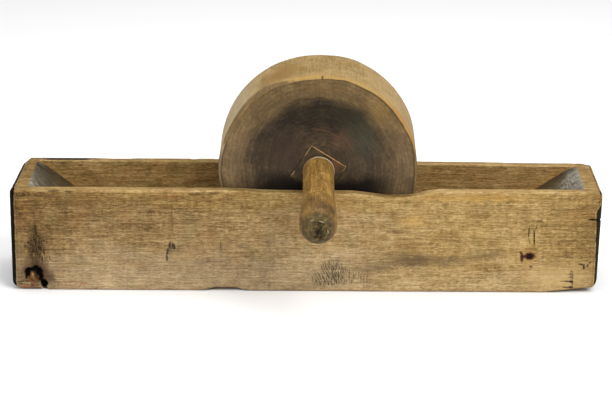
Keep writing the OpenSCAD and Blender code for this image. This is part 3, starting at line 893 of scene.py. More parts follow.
KNOT_LEFT = (  # the stained wood round the rotted knot, and its core
    ("soft", -308, 19, 28, 19, 0, 0.88, (72, 49, 28)),
    ("soft", -301, 22, 18, 15, 0, 0.78, (46, 29, 18)),
    ("soft", -288, 15, 14, 17, 12, 0.72, (60, 39, 28)),
    ("sharp", -303, 17, 13, 13, 0, 0.72, (52, 32, 20)),
    ("sharp", -306.8, 16.5, 2.9, 6.0, 4, 0.90, (112, 82, 46)),
    ("broken", -306.4, 17.5, 1.4, 4.4, 8, 0.80, (162, 124, 72)),
    ("broken", -307.4, 13.0, 1.3, 4.0, -14, 0.85, (44, 27, 18)),
    ("broken", -303.8, 12.5, 1.8, 4.4, 24, 0.80, (140, 84, 44)),
    ("broken", -310.8, 10.5, 3.4, 2.4, -20, 0.80, (130, 76, 42)),
    ("broken", -305.5, 8.0, 4.6, 2.6, 8, 0.80, (124, 66, 36)),
    ("sharp", -311, 2.8, 16, 2.8, 0, 0.66, (104, 60, 38)),
    ("broken", -316, 5.0, 9, 3.0, 0, 0.50, (138, 84, 52)),
    ("sharp", -318, 10.0, 9, 1.2, 3, 0.80, (50, 25, 17)),
    ("broken", -315, 6.6, 12, 1.5, -3, 0.85, (54, 28, 20)),
    ("broken", -304, 5.2, 8, 1.8, 6, 0.90, (40, 22, 16)),
    ("broken", -300.6, 2.6, 3.6, 1.4, 0, 0.70, (50, 28, 20)),
    ("broken", -269, 9.6, 25, 1.2, 1, 0.85, (98, 54, 34)),
    ("broken", -270, 5.8, 22, 0.9, -3, 0.60, (112, 66, 42)),
    ("sharp", -249, 8.2, 6.4, 1.0, 8, 0.70, (136, 76, 54)),
    ("sharp", -254, 5.2, 5.4, 0.9, 32, 0.62, (136, 78, 54)),
    ("broken", -282, 4.6, 7, 1.4, 0, 0.62, (76, 50, 32)),
    ("sharp", -236, 1.8, 3.0, 1.4, 0, 0.60, (66, 44, 28)),
)
GOUGE_STAINS = (
    ("soft", -149.4, 80, 4.2, 24, 2, 0.42, (100, 74, 42)),
    ("sharp", -149.2, 84, 1.3, 24, 1, 0.50, (100, 74, 43)),
    ("soft", -150, 47, 9, 11, -20, 0.44, (96, 80, 56)),
    ("sharp", -147.9, 52.4, 2.5, 5.8, 18, 0.90, (42, 35, 26)),
    ("sharp", -152.2, 53.6, 2.1, 5.4, -7, 0.88, (42, 35, 26)),
    ("sharp", -154.9, 45.8, 2.0, 6.4, -9, 0.84, (46, 39, 29)),
    ("sharp", -155.4, 38.2, 1.8, 4.8, -2, 0.80, (46, 39, 29)),
    ("sharp", -150.6, 50.6, 3.2, 2.2, 0, 0.66, (62, 55, 42)),
    ("sharp", -141.8, 51.5, 0.9, 3.0, 20, 0.40, (84, 72, 52)),
    ("soft", -146, 38, 6, 9, 20, 0.30, (168, 142, 98)),
    ("sharp", -95.0, 52.8, 1.4, 7.8, 2, 0.74, (86, 67, 41)),
    ("sharp", -97.4, 52.0, 0.7, 3.4, -2, 0.40, (84, 66, 40)),
)
SMUDGES = (
    ("sharp", -123, 113.0, 10, 1.9, 1, 0.78, (66, 46, 25)),
    ("sharp", -104, 113.8, 7.0, 1.7, 0, 0.68, (72, 52, 29)),
    ("sharp", -84, 112.2, 8.0, 1.6, -2, 0.62, (80, 58, 33)),
    ("sharp", -152, 109.6, 13, 2.6, 3, 0.46, (118, 76, 40)),
    ("sharp", -170, 111.2, 7.0, 1.8, 0, 0.56, (88, 62, 34)),
    ("sharp", -280, 116.2, 9.0, 1.7, 0, 0.74, (66, 44, 24)),
    ("sharp", -264, 115.6, 7.0, 1.6, -2, 0.74, (66, 44, 24)),
    ("sharp", -240, 113.0, 9.0, 1.4, 0, 0.50, (84, 60, 34)),
    ("broken", -286, 110.0, 16, 2.6, 0, 0.60, (78, 64, 38)),
    ("broken", -318, 112.0, 10, 3.6, 0, 0.86, (48, 37, 22)),
    ("soft", 120, 37, 40, 12.0, 2, 0.84, (86, 70, 50)),
    ("soft", 104, 42, 50, 10.0, 2, 0.36, (94, 76, 52)),
    ("soft", 78, 29, 40, 9.0, 4, 0.58, (94, 79, 58)),
    ("soft", 160, 37, 42, 9.0, 2, 0.66, (92, 75, 53)),
    ("soft", 206, 44, 34, 7.0, 4, 0.58, (98, 82, 56)),
    ("soft", 118, 84, 24, 13, 0, 0.34, (210, 170, 98)),
    ("soft", 76, 66, 16, 22, 0, 0.26, (138, 102, 56)),
    ("sharp", 69.5, 24.0, 2.4, 2.0, 0, 0.45, (92, 80, 62)),
    ("soft", 98, 30.5, 5.0, 4.5, 0, 0.28, (92, 76, 52)),
    ("sharp", 155.0, 39.0, 4.2, 4.0, 0, 0.30, (92, 74, 48)),
    ("soft", 212, 49, 8.0, 3.5, 10, 0.30, (96, 84, 58)),
    ("soft", 44, 98, 24, 22, 0, 0.28, (134, 96, 52)),
    ("soft", 0, 6, 34, 5.0, 2, 0.55, (104, 84, 60)),
    ("soft", -20, 3.5, 16, 3.5, 0, 0.35, (92, 72, 50)),
    ("sharp", 276, 114, 4.0, 2.0, 0, 0.50, (90, 62, 34)),
    ("soft", 246, 96, 50, 7.0, -3, 0.22, (108, 84, 48)),
    ("soft", -60, 107, 150, 5.0, 0, 0.26, (104, 77, 43)),
    ("soft", -255, 104, 66, 9.0, 0, 0.36, (90, 66, 38)),
    ("soft", 190, 111, 110, 7.0, 0, 0.40, (174, 134, 66)),
    ("soft", -225, 80, 30, 22, 20, 0.18, (88, 78, 56)),
    ("soft", -255, 36, 14, 10, 0, 0.26, (92, 78, 50)),
    ("soft", -185, 88, 12, 9, 0, 0.20, (86, 76, 54)),
    ("soft", -40, 92, 26, 9, 0, 0.16, (98, 88, 66)),
    ("soft", 215, 18, 26, 10, 0, 0.18, (150, 138, 112)),
    ("soft", 190, 70, 30, 12, 0, 0.16, (154, 122, 66)),
)
KNOT_RIGHT = (
    ("soft", 247, 43, 15, 13, 0, 0.34, (150, 108, 58)),
    ("soft", 252, 56, 8, 10, 0, 0.30, (154, 122, 66)),
    ("sharp", 250.8, 43.4, 8.2, 6.4, 4, 0.96, (58, 24, 18)),
    ("sharp", 250.2, 43.0, 5.2, 4.4, 0, 0.88, (18, 8, 9)),
    ("sharp", 243.8, 42.6, 4.0, 2.4, 0, 0.92, (54, 24, 19)),
    ("sharp", 241.8, 42.2, 2.4, 8.4, 3, 0.92, (56, 26, 20)),
    ("sharp", 240.4, 47.2, 1.6, 3.0, 24, 0.80, (60, 30, 22)),
    ("sharp", 252.4, 30.6, 2.5, 2.7, 0, 0.84, (86, 44, 30)),
    ("sharp", 248.8, 71.0, 1.1, 10.5, -3, 0.84, (58, 50, 29)),
    ("sharp", 249.8, 60.5, 1.1, 4.4, 14, 0.70, (70, 58, 34)),
    ("sharp", 254.9, 66.0, 1.2, 13.5, 3, 0.84, (58, 51, 30)),
    ("sharp", 256.9, 76.5, 1.1, 5.4, -16, 0.74, (62, 54, 32)),
    ("sharp", 252.0, 66.0, 1.0, 10, 0, 0.40, (172, 144, 88)),
    ("sharp", 260.8, 84.0, 5.0, 1.9, 6, 0.70, (76, 70, 42)),
    ("sharp", 258.6, 71.4, 3.0, 1.2, 0, 0.45, (86, 76, 46)),
    ("sharp", 266.0, 84.6, 3.0, 1.2, 0, 0.45, (188, 160, 104)),
)
NICKS_RIGHT = (
    ("soft", 282, 17, 60, 26, 0, 0.50, (196, 168, 116)),
    ("sharp", 308.6, 33.8, 4.4, 1.2, 2, 0.85, (40, 31, 20)),
    ("sharp", 311.6, 31.2, 1.6, 4.6, 0, 0.90, (34, 27, 18)),
    ("sharp", 315.6, 32.4, 2.4, 2.4, 0, 0.78, (56, 42, 30)),
    ("sharp", 318.4, 36.4, 2.2, 1.7, 20, 0.80, (44, 36, 24)),
    ("sharp", 299.2, 12.4, 1.3, 4.6, 0, 0.78, (38, 30, 19)),
    ("broken", 298.4, 22.0, 3.2, 8.0, 0, 0.70, (66, 56, 38)),
    ("sharp", 293.2, 13.9, 9.6, 1.1, 0, 0.84, (36, 28, 18)),
    ("sharp", 297.9, 13.6, 3.4, 2.1, 0, 0.90, (27, 21, 14)),
    ("sharp", 293.8, 6.7, 7.4, 1.2, 0, 0.86, (34, 27, 17)),
    ("sharp", 297.9, 6.8, 3.2, 2.3, 0, 0.92, (25, 20, 13)),
    ("sharp", 297.0, 22.2, 5.0, 0.9, 0, 0.72, (84, 76, 56)),
    ("sharp", 297.6, 18.8, 4.2, 0.9, 6, 0.72, (74, 66, 47)),
    ("sharp", 299.4, 20.6, 0.8, 3.0, 0, 0.55, (74, 66, 47)),
    ("sharp", 292.0, 42.6, 17, 0.8, 0, 0.60, (72, 55, 31)),
    ("sharp", 290.4, 13.6, 3.0, 0.6, 0, 0.40, (60, 48, 30)),
    ("sharp", 310, 66, 16, 0.7, 1, 0.50, (78, 57, 31)),
    ("sharp", 302, 73, 20, 0.7, -1, 0.50, (78, 57, 31)),
    ("sharp", 306, 79, 14, 0.8, 0, 0.45, (82, 60, 32)),
    ("sharp", 314, 58, 11, 0.7, 0, 0.45, (82, 60, 32)),
    ("soft", 316, 66, 15, 34, 0, 0.30, (96, 74, 42)),
    ("sharp", 312, 101, 10, 1.1, 4, 0.50, (78, 56, 28)),
    ("sharp", 302, 106, 12, 1.0, 0, 0.40, (172, 140, 84)),
    ("sharp", 319.5, 86.0, 7.6, 0.9, 0, 0.90, (28, 22, 15)),
)


def front_level(tree, x, z):
    """Tone of the front: darker to the left and at the far right, paler towards the bottom."""
    level = total(tree, 0.70, (span(tree, x, 0.040, -0.180), -0.17), (span(tree, x, -0.240, -0.320), -0.15),
                  (span(tree, x, 0.230, 0.325), -0.15))
    lift = total(tree, 0.03, (span(tree, x, -0.020, -0.220), 0.16))
    level = total(tree, level, (times(tree, span(tree, z, 0.082, 0.012), lift), 1.0), (span(tree, z, 0.020, 0.004), 0.08))
    return level


def trough_level(tree, x, y, z, low, front, inside):
    """Tone of the whole baulk before its grain: the front's zones, its rims, and the rest."""
    level = total(tree, 0.62, (maths(tree, "SUBTRACT", front_level(tree, x, low), 0.62), front),
                  (times(tree, inside, span(tree, x, -0.050, 0.120)), 0.05))
    on_top = times(tree, span(tree, z, 0.1140, 0.1162), maths(tree, "SUBTRACT", 1.0, inside))
    at_end = span(tree, maths(tree, "ABSOLUTE", x), 0.306, 0.312)
    rim = total(tree, 0.66, (span(tree, x, -0.050, 0.100), 0.09), (span(tree, y, -0.030, 0.030), -0.07),
                (at_end, -0.10))
    return total(tree, level, (times(tree, maths(tree, "SUBTRACT", rim, level), on_top), 1.0)), on_top


def slope_colour(tree, place, near, x, y):
    """The two grey sloping ends: dusty at the top, darker to the foot and along the rear wall, with
    streaks down the slope."""
    right = span(tree, x, -0.01, 0.01)
    down = span(tree, maths(tree, "ABSOLUTE", x), 0.311, 0.266, soft=False)
    streak = cells(tree, near, (0.014, 0.0024, 0.014), 1.3, 3.0, 0.6)
    cloud = cells(tree, place, (0.009, 0.009, 0.009), 4.4, 4.0, 0.62)
    left = maths(tree, "SUBTRACT", 1.0, right)
    level = total(tree, -0.05, (down, -0.42), (streak, 0.28), (cloud, 0.84), (right, 0.19),
                  (times(tree, right, span(tree, y, 0.014, 0.044)), -0.32),
                  (times(tree, left, span(tree, y, 0.000, 0.040)), -0.16),
                  (times(tree, right, span(tree, x, 0.290, 0.302), span(tree, y, 0.000, 0.040)), 0.22),
                  (times(tree, left, span(tree, x, -0.296, -0.306), span(tree, y, 0.020, -0.030)), 0.14))
    scribble = times(tree, span(tree, cells(tree, place, (0.0013, 0.010, 0.0013), 9.0, 3.0), 0.52, 0.62),
                     between(tree, x, 0.284, 0.296, 0.303, 0.309), between(tree, y, -0.036, -0.010, 0.014, 0.030))
    grey = shades(tree, level, SLOPE_SHADES)
    grey = tint(tree, times(tree, right, 0.5), grey, srgb(232, 238, 250), "MULTIPLY")
    grey = tint(tree, times(tree, down, span(tree, y, -0.030, 0.020), 0.45), grey, srgb(98, 80, 48))
    return tint(tree, times(tree, scribble, 0.46), grey, srgb(176, 171, 156))


def trough_wood():
    """Old tan wood: short wavy long grain, blotches and broad zones, black end grain, grey sloping
    ends, pale worn rims, and the knots, cracks, hacks and smudges of the front."""
    wood, tree, shader, place = new_wood("old_baulk")
    x, y, z = parts_of(tree, place)
    front = span(tree, y, -0.0570, -0.0602)
    near = shaken(tree, place, 0.0022, 0.0011)
    wide = shaken(tree, place, 0.012, 0.0075, 3.0, 4.0)
    inside, edge, gap = mark(tree, "inside"), mark(tree, "edge"), mark(tree, "end_gap")
    grain = use_group(tree, GRAIN, {"Place": place})
    from_pith = shift(tree, place, tuple(-v for v in PITH))
    rings = use_group(tree, RINGS, {"Place": from_pith, "Spacing": 0.0046, "Wander": 0.022})
    hatch = cells(tree, place, (0.0026, 0.02, 0.014), 6.6)
    low = total(tree, z, (maths(tree, "SUBTRACT", cells(tree, place, (0.050, 0.02, 0.018), 6.0, 4.0), 0.5), 0.075))
    level, on_top = trough_level(tree, x, y, z, low, front, inside)
    tone = total(tree, level, (grain["Tone"], 1.0), (rings["Late"], -0.10),
                 (times(tree, maths(tree, "SUBTRACT", hatch, 0.5), front), 0.22),
                 (times(tree, edge, span(tree, cells(tree, place, (0.012, 0.006, 0.006), 2.2), 0.40, 0.60)), 0.10))
    base = shades(tree, tone, BAULK_SHADES)
    base = tint(tree, times(tree, grain["Pore"], 0.42), base, srgb(62, 44, 26))
    # Hues: olive and reddish blotches, greyer towards the bottom, yellower inside
    base = tint(tree, times(tree, patches(tree, wide, 0.030, 0.53, 0.10), 0.22), base, srgb(104, 96, 62))
    base = tint(tree, times(tree, patches(tree, shift(tree, wide, (0.4, 0.2, 0.1)), 0.034, 0.53, 0.10), 0.20), base,
                srgb(138, 98, 62))
    base = tint(tree, times(tree, span(tree, low, 0.066, 0.020), 0.20, front, span(tree, x, 0.120, 0.020)), base,
                srgb(150, 140, 126))
    warm = maths(tree, "MAXIMUM", span(tree, low, 0.086, 0.106), span(tree, x, 0.050, 0.150, 0.0, 0.85))
    warm = maths(tree, "MAXIMUM", warm, span(tree, x, -0.240, -0.310, 0.0, 0.4))
    kept = maths(tree, "SUBTRACT", 1.0, maths(tree, "MAXIMUM", inside, times(tree, on_top, 0.2)))
    base = tint(tree, times(tree, warm, kept, span(tree, low, 0.006, 0.046, 0.25, 1.0)), base, srgb(255, 252, 232),
                "MULTIPLY")
    base = tint(tree, times(tree, inside, 0.9), base, srgb(250, 240, 216), "MULTIPLY")
    base = paint(tree, base, near, wide, front, FLAME, (0.0012, 0.0012, 0.0060))
    for rows in (KNOT_LEFT, GOUGE_STAINS, SMUDGES, KNOT_RIGHT, NICKS_RIGHT):
        base = paint(tree, base, near, wide, front, rows)
    base, hacked = hacks(tree, base, place, near, wide, front)
    # Dark lines along the rims' arrises: along the rear rim's outer arris, widened over the rim near the left corner,
    # and broken along the front rim's inner arris
    corner_dirt = between(tree, x, -0.314, -0.296, -0.258, -0.238)
    ragged_y = total(tree, y, (corner_dirt, 0.0030), (cells(tree, place, (0.012, 0.006, 0.006), 3.3, 3.0), 0.0040))
    rear_line = maths(tree, "MAXIMUM", times(tree, span(tree, ragged_y, 0.0596, 0.0612), span(tree, z, 0.1110, 0.1140)),
                      times(tree, span(tree, ragged_y, 0.0545, 0.0580), span(tree, z, 0.1110, 0.1140), corner_dirt))
    stained = maths(tree, "MAXIMUM", times(tree, corner_dirt, 0.95), 0.62)
    base = tint(tree, times(tree, rear_line, stained), base, srgb(32, 22, 14))
    front_line = times(tree, between(tree, y, -0.0500, -0.0488, -0.0476, -0.0468), on_top,
                       span(tree, cells(tree, place, (0.020, 0.004, 0.004), 5.1), 0.42, 0.56))
    base = tint(tree, times(tree, front_line, 0.65), base, srgb(60, 44, 28))
    # Sloping ends, and the reddish band on the walls along them
    band = times(tree, mark(tree, "over_ramp"), span(tree, cells(tree, place, (0.006, 0.006, 0.006), 7.2), 0.35, 0.60))
    base = tint(tree, times(tree, band, 0.65), base, srgb(148, 96, 44))
    base = tint(tree, times(tree, mark(tree, "ramp"), 0.95), base, slope_colour(tree, place, near, x, y))
    base = tint(tree, times(tree, mark(tree, "low_edge"), 0.25, front), base, srgb(128, 94, 62))
    # Black end grain that wraps round the end arrises, with a pale and a dark line beside it
    right = span(tree, x, -0.01, 0.01)
    width = total(tree, 0.0046, (times(tree, right, span(tree, z, 0.100, 0.020)), -0.0026), (right, 0.0010),
                  (times(tree, right, on_top), -0.0016), (on_top, -0.0008),
                  (times(tree, right, span(tree, z, 0.0930, 0.1120), maths(tree, "SUBTRACT", 1.0, on_top)), -0.0064))
    ragged = cells(tree, place, (0.003, 0.003, 0.006), 1.7, 3.0)
    beyond = total(tree, maths(tree, "SUBTRACT", gap, width), (maths(tree, "SUBTRACT", ragged, 0.5), 0.0024))
    patchy = span(tree, cells(tree, place, (0.01, 0.01, 0.007), 3.9, 3.0), 0.40, 0.58)
    base = tint(tree, times(tree, between(tree, beyond, 0.0, 0.0004, 0.0012, 0.0020), span(tree, x, -0.01, 0.01, 0.12, 0.60), front, patchy), base,
                srgb(176, 146, 88))
    base = tint(tree, times(tree, between(tree, beyond, 0.0014, 0.0019, 0.0023, 0.0030), 0.35, front), base,
                srgb(78, 58, 34))
    end_grain = tint(tree, rings["Late"], srgb(20, 17, 11), srgb(10, 8, 6))
    end_grain = tint(tree, span(tree, x, -0.01, 0.01, 0.0, 0.55), end_grain, srgb(50, 44, 27))
    deep_in = span(tree, maths(tree, "ABSOLUTE", y), 0.060, 0.052)
    end_grain = tint(tree, times(tree, patches(tree, place, 0.02, 0.46, 0.15), deep_in, 0.55), end_grain, srgb(54, 44, 30))
    base = tint(tree, span(tree, beyond, 0.0003, -0.0003), base, end_grain)
    # Painted shade: the knot hole, the split and the cracks are filled nearly black in their depth
    hole = mark(tree, "hole")
    base = tint(tree, span(tree, total(tree, hole, (maths(tree, "SUBTRACT", ragged, 0.5), 0.7)), 0.26, 0.60), base,
                srgb(11, 8, 6))
    rough = span(tree, edge, 0.0, 1.0, 0.74, 0.58)
    height = total(tree, 0.0, (grain["Fine"], 0.8), (rings["Late"], -0.25), (grain["Pore"], -0.5), (hacked, -0.8))
    finish_wood(tree, shader, base, rough, height, 0.00032)
    return wood


def hacks(tree, base, place, near, wide, front):
    """The cluster of grey slanted hacks under the handle, in two rows, and a fainter hatch beside it."""
    ground = maths(tree, "MAXIMUM", spot(tree, wide, 27, 17, 27, 14, 0, 0.9), spot(tree, wide, 30, 30, 17, 9, 0, 0.9))
    base = tint(tree, times(tree, ground, 0.46, front), base, srgb(98, 88, 64))
    rows = (
        (spot(tree, near, 23, 14.5, 20, 11, -6, 0.35), 0.0031, 0.45, 0.78, (50, 46, 34)),
        (spot(tree, near, 29, 30, 16, 8.5, 4, 0.35), 0.0027, 0.38, 0.74, (56, 51, 38)),
        (spot(tree, near, 43, 17, 17, 11, 0, 0.40), 0.0024, 0.04, 0.68, (60, 54, 40)),
        (spot(tree, near, 62, 17, 20, 12, 0, 0.6), 0.0033, -0.03, 0.50, (82, 70, 48)),
        (spot(tree, near, 38, 24, 13, 12, 0, 0.6), 0.0022, -0.30, 0.62, (48, 44, 33)),
    )
    hacked = 0.0
    for mask, pitch, slant, strength, levels in rows:
        row = use_group(tree, HACKS, {"Place": place, "Pitch": pitch, "Slant": slant})["Mask"]
        part = times(tree, row, mask, front)
        base = tint(tree, times(tree, part, strength), base, srgb(*levels))
        hacked = maths(tree, "MAXIMUM", hacked, part)
    return base, hacked


# ---- Woods of the wheel and the axle ----
FACE_SHADES = ((0.0, (22, 18, 14)), (0.2, (42, 35, 28)), (0.4, (66, 54, 40)), (0.6, (92, 75, 53)),
               (0.8, (122, 101, 71)), (1.0, (158, 134, 96)))
TREAD_SHADES = ((0.0, (58, 40, 20)), (0.25, (95, 70, 36)), (0.5, (128, 104, 62)), (0.75, (154, 130, 86)),
                (1.0, (184, 161, 115)))
GRIP_SHADES = ((0.0, (34, 24, 11)), (0.25, (72, 52, 24)), (0.45, (108, 80, 38)), (0.6, (136, 103, 50)),
               (0.8, (170, 134, 72)), (1.0, (204, 172, 108)))
TIP_SHADES = ((0.0, (14, 11, 7)), (0.25, (43, 36, 25)), (0.5, (78, 65, 42)), (0.75, (119, 101, 63)),
              (1.0, (168, 152, 110)))


def wheel_place(tree, place):
    """The place in the wheel's own frame: its middle at the origin and its spindle along Y."""
    return put(tree, "ShaderNodeMapping", {"Vector": place, "Location": WHEEL_AT, "Rotation": (LEAN, 0, 0)},
               vector_type="TEXTURE").outputs[0]


def turned_grain(tree, own):
    """Swaps X and Y, so that the grain, which runs along the spindle, lies along X."""
    x, y, z = parts_of(tree, own)
    return put(tree, "ShaderNodeCombineXYZ", {0: y, 1: x, 2: z}).outputs[0]


def tread_colour(tree, own, grain, wide):
    """Tan long grain, greyer at the left, with a browner patch and a reddish front edge."""
    x, y, z = parts_of(tree, own)
    level = total(tree, 0.60 - 0.5 * 0.40, (span(tree, x, -0.030, -0.085), 0.05), (grain["Tone"], 0.66), (cells(tree, own, (0.022, 0.030, 0.022), 2.7, 4.0, 0.6), 0.62),
                  (cells(tree, own, (0.0060, 0.0090, 0.0060), 4.9, 3.0), 0.26), (0.5, -0.48))
    tread = shades(tree, level, TREAD_SHADES)
    tread = tint(tree, times(tree, grain["Pore"], 0.22), tread, srgb(84, 60, 34))
    flat = put(tree, "ShaderNodeCombineXYZ", {0: x, 1: 0.0, 2: y}).outputs[0]
    ragged = shaken(tree, flat, 0.012, 0.006)
    tread = tint(tree, times(tree, spot(tree, ragged, -42, -6, 38, 38, 14, 0.9), 0.80, span(tree, z, 0.02, 0.05)), tread,
                 srgb(126, 94, 46))
    tread = tint(tree, times(tree, span(tree, x, -0.060, -0.090), 0.44), tread, srgb(184, 168, 138))
    tread = tint(tree, times(tree, span(tree, x, 0.030, 0.080), 0.30), tread, srgb(176, 152, 110))
    wavy = total(tree, y, (cells(tree, own, (0.020, 0.012, 0.020), 5.9, 3.0), 0.016))
    band = times(tree, span(tree, wavy, -0.018, -0.034), span(tree, x, -0.062, -0.034), span(tree, z, 0.015, 0.045))
    tread = tint(tree, times(tree, band, 0.50), tread, srgb(158, 127, 74))
    return tint(tree, times(tree, patches(tree, own, 0.028, 0.54, 0.10), 0.25), tread, srgb(112, 86, 52))


def face_colour(tree, own, turned, near, wide):
    """End grain: a brown outer band, a dark ragged heart with faint rings, greenish at the right and
    reddish in the middle, and a painted shadow, nearly black, where the wheel goes down into the trough."""
    x, y, z = parts_of(tree, own)
    rings = use_group(tree, RINGS, {"Place": shift(tree, turned, (0, -0.004, -0.006)), "Spacing": 0.0042,
                                    "Wander": 0.034})
    drift = shaken(tree, own, 0.030, 0.0080, 6.0, 3.0)
    squashed = put(tree, "ShaderNodeVectorMath", {0: scaled(tree, shift(tree, drift, (0.001, 0, -0.004)),
                                                            (12.4, 0.0, 12.2))}, operation="LENGTH")
    away = squashed.outputs["Value"]
    crisp = times(tree, span(tree, away, 1.00, 0.90), span(tree, z, 0.030, 0.060))
    heart = total(tree, 0.0, (span(tree, away, 1.22, 0.80), 0.72), (crisp, 0.40))
    cloud = cells(tree, own, (0.020, 0.05, 0.020), 1.1, 4.0, 0.62)
    small = cells(tree, own, (0.0040, 0.02, 0.0036), 3.6, 3.0, 0.6)
    far = put(tree, "ShaderNodeVectorMath", {0: scaled(tree, own, (1.0, 0.0, 1.0))}, operation="LENGTH").outputs["Value"]
    arcs = put(tree, "ShaderNodeCombineXYZ", {0: maths(tree, "DIVIDE", far, 0.0028),
                                              1: maths(tree, "MULTIPLY", maths(tree, "ARCTAN2", z, x), 3.2), 2: y}).outputs[0]
    arc = put(tree, "ShaderNodeTexNoise", {"Vector": arcs, "Scale": 1.0, "Detail": 2.0}).outputs["Fac"]
    upright = cells(tree, own, (0.0019, 0.02, 0.022), 5.5)
    level = total(tree, 0.63 - 0.5 * (0.40 + 0.34 + 0.20), (heart, -0.39), (cloud, 0.40), (small, 0.34), (arc, 0.20),
                  (rings["Late"], -0.08), (rings["Year"], 0.06))
    level = total(tree, level, (times(tree, maths(tree, "SUBTRACT", upright, 0.5), span(tree, z, 0.076, 0.098)), 0.22))
    face = shades(tree, level, FACE_SHADES)
    stains = (
        ("soft", 48, 36, 30, 44, 0, 0.55, (56, 58, 47)),
        ("soft", 36, 64, 30, 16, -24, 0.54, (42, 42, 32)),
        ("soft", 6, 66, 58, 13, 0, 0.50, (38, 34, 27)),
        ("soft", -44, 26, 42, 42, 0, 0.50, (42, 34, 29)),
        ("soft", -34, 20, 24, 26, 0, 0.34, (70, 52, 46)),
        ("soft", 28, 34, 22, 15, -30, 0.42, (84, 58, 44)),
        ("sharp", 3, 48, 13, 2.0, -8, 0.35, (88, 60, 42)),
        ("sharp", 20, 41, 12, 1.4, -24, 0.35, (92, 62, 46)),
        ("sharp", 36, 28, 10, 1.6, -50, 0.30, (90, 62, 48)),
        ("soft", -52, 50, 14, 18, 30, 0.25, (52, 46, 40)),
        ("soft", 66, 44, 10, 24, 24, 0.35, (50, 42, 31)),
        ("soft", 0, 96, 40, 9, 0, 0.32, (108, 84, 56)),
        ("soft", -92, 24, 16, 44, -12, 0.30, (112, 92, 68)),
        ("soft", 92, 22, 14, 40, 12, 0.25, (96, 78, 58)),
        ("soft", 66, 70, 18, 26, 40, 0.34, (134, 106, 64)),
    )
    face = paint(tree, face, near, wide, 1.0, stains)
    face = tint(tree, span(tree, z, 0.020, 0.080), face, srgb(255, 253, 238), "MULTIPLY")
    # Painted shadow: the face turns nearly black towards the bottom, near the trough's rim, where the front wall shades
    # it
    down = span(tree, total(tree, z, (maths(tree, "SUBTRACT", cloud, 0.5), 0.020)), 0.004, -0.017)
    side = span(tree, maths(tree, "ABSOLUTE", x), 0.088, 0.050, 0.25, 1.0)
    return tint(tree, times(tree, down, side, 0.92), face, srgb(13, 10, 8)), rings


def wheel_wood():
    """A slice of a trunk: tan long grain on the tread, darker end grain on the faces."""
    wood, tree, shader, place = new_wood("trunk_slice")
    own = wheel_place(tree, place)
    x, y, z = parts_of(tree, own)
    turned = turned_grain(tree, own)
    near = shaken(tree, own, 0.003, 0.0014)
    wide = shaken(tree, own, 0.016, 0.0085, 3.0, 4.0)
    grain = use_group(tree, GRAIN, {"Place": scaled(tree, turned, (0.8, 0.8, 0.8))})
    on_face = mark(tree, "face")
    faces, rings = face_colour(tree, own, turned, near, wide)
    ragged = total(tree, mark(tree, "worn"), (cells(tree, own, (0.006, 0.006, 0.006), 8.8, 3.0), 0.5), (0.5, -0.5))
    worn = times(tree, span(tree, ragged, 0.16, 0.56), maths(tree, "SUBTRACT", 1.0, on_face))
    long_grain = tint(tree, worn, tread_colour(tree, own, grain, wide), tint(tree, 0.16, faces, srgb(150, 118, 72)))
    base = tint(tree, on_face, long_grain, faces)
    edge = times(tree, mark(tree, "edge"), maths(tree, "SUBTRACT", 1.0, worn))
    line = mark(tree, "line")
    above = span(tree, z, 0.010, 0.040)
    base = tint(tree, times(tree, edge, above, span(tree, x, -0.062, -0.030, 0.08, 0.34)), base, srgb(160, 128, 74))
    base = tint(tree, times(tree, edge, above, span(tree, x, 0.056, 0.092, 0.0, 0.50)), base, srgb(146, 100, 54))
    # Painted shade: the rounded edge darkens below, near the trough's rim, where the front wall shades it
    base = tint(tree, times(tree, edge, maths(tree, "SUBTRACT", 1.0, above), 0.70), base, srgb(84, 66, 44))
    broken = span(tree, cells(tree, own, (0.010, 0.010, 0.010), 4.1, 3.0), 0.36, 0.52)
    thin = times(tree, span(tree, x, 0.034, 0.060, 0.34, 1.0), total(tree, 0.35, (broken, 0.50)))
    base = tint(tree, times(tree, line, maths(tree, "MAXIMUM", thin, span(tree, z, 0.050, 0.030, 0.0, 0.75))), base,
                srgb(46, 32, 19))
    # Painted shade: the check in the rim is filled nearly black
    base = tint(tree, mark(tree, "crack"), base, srgb(20, 13, 8))
    rough = span(tree, on_face, 0.0, 1.0, 0.58, 0.66)
    fine = maths(tree, "SUBTRACT", 1.0, on_face)
    height = total(tree, 0.0, (times(tree, grain["Fine"], fine), 0.6), (times(tree, rings["Late"], on_face), -0.3),
                   (times(tree, cells(tree, own, (0.0012, 0.0012, 0.0012)), on_face), 0.4))
    finish_wood(tree, shader, base, rough, height, 0.00028)
    return wood


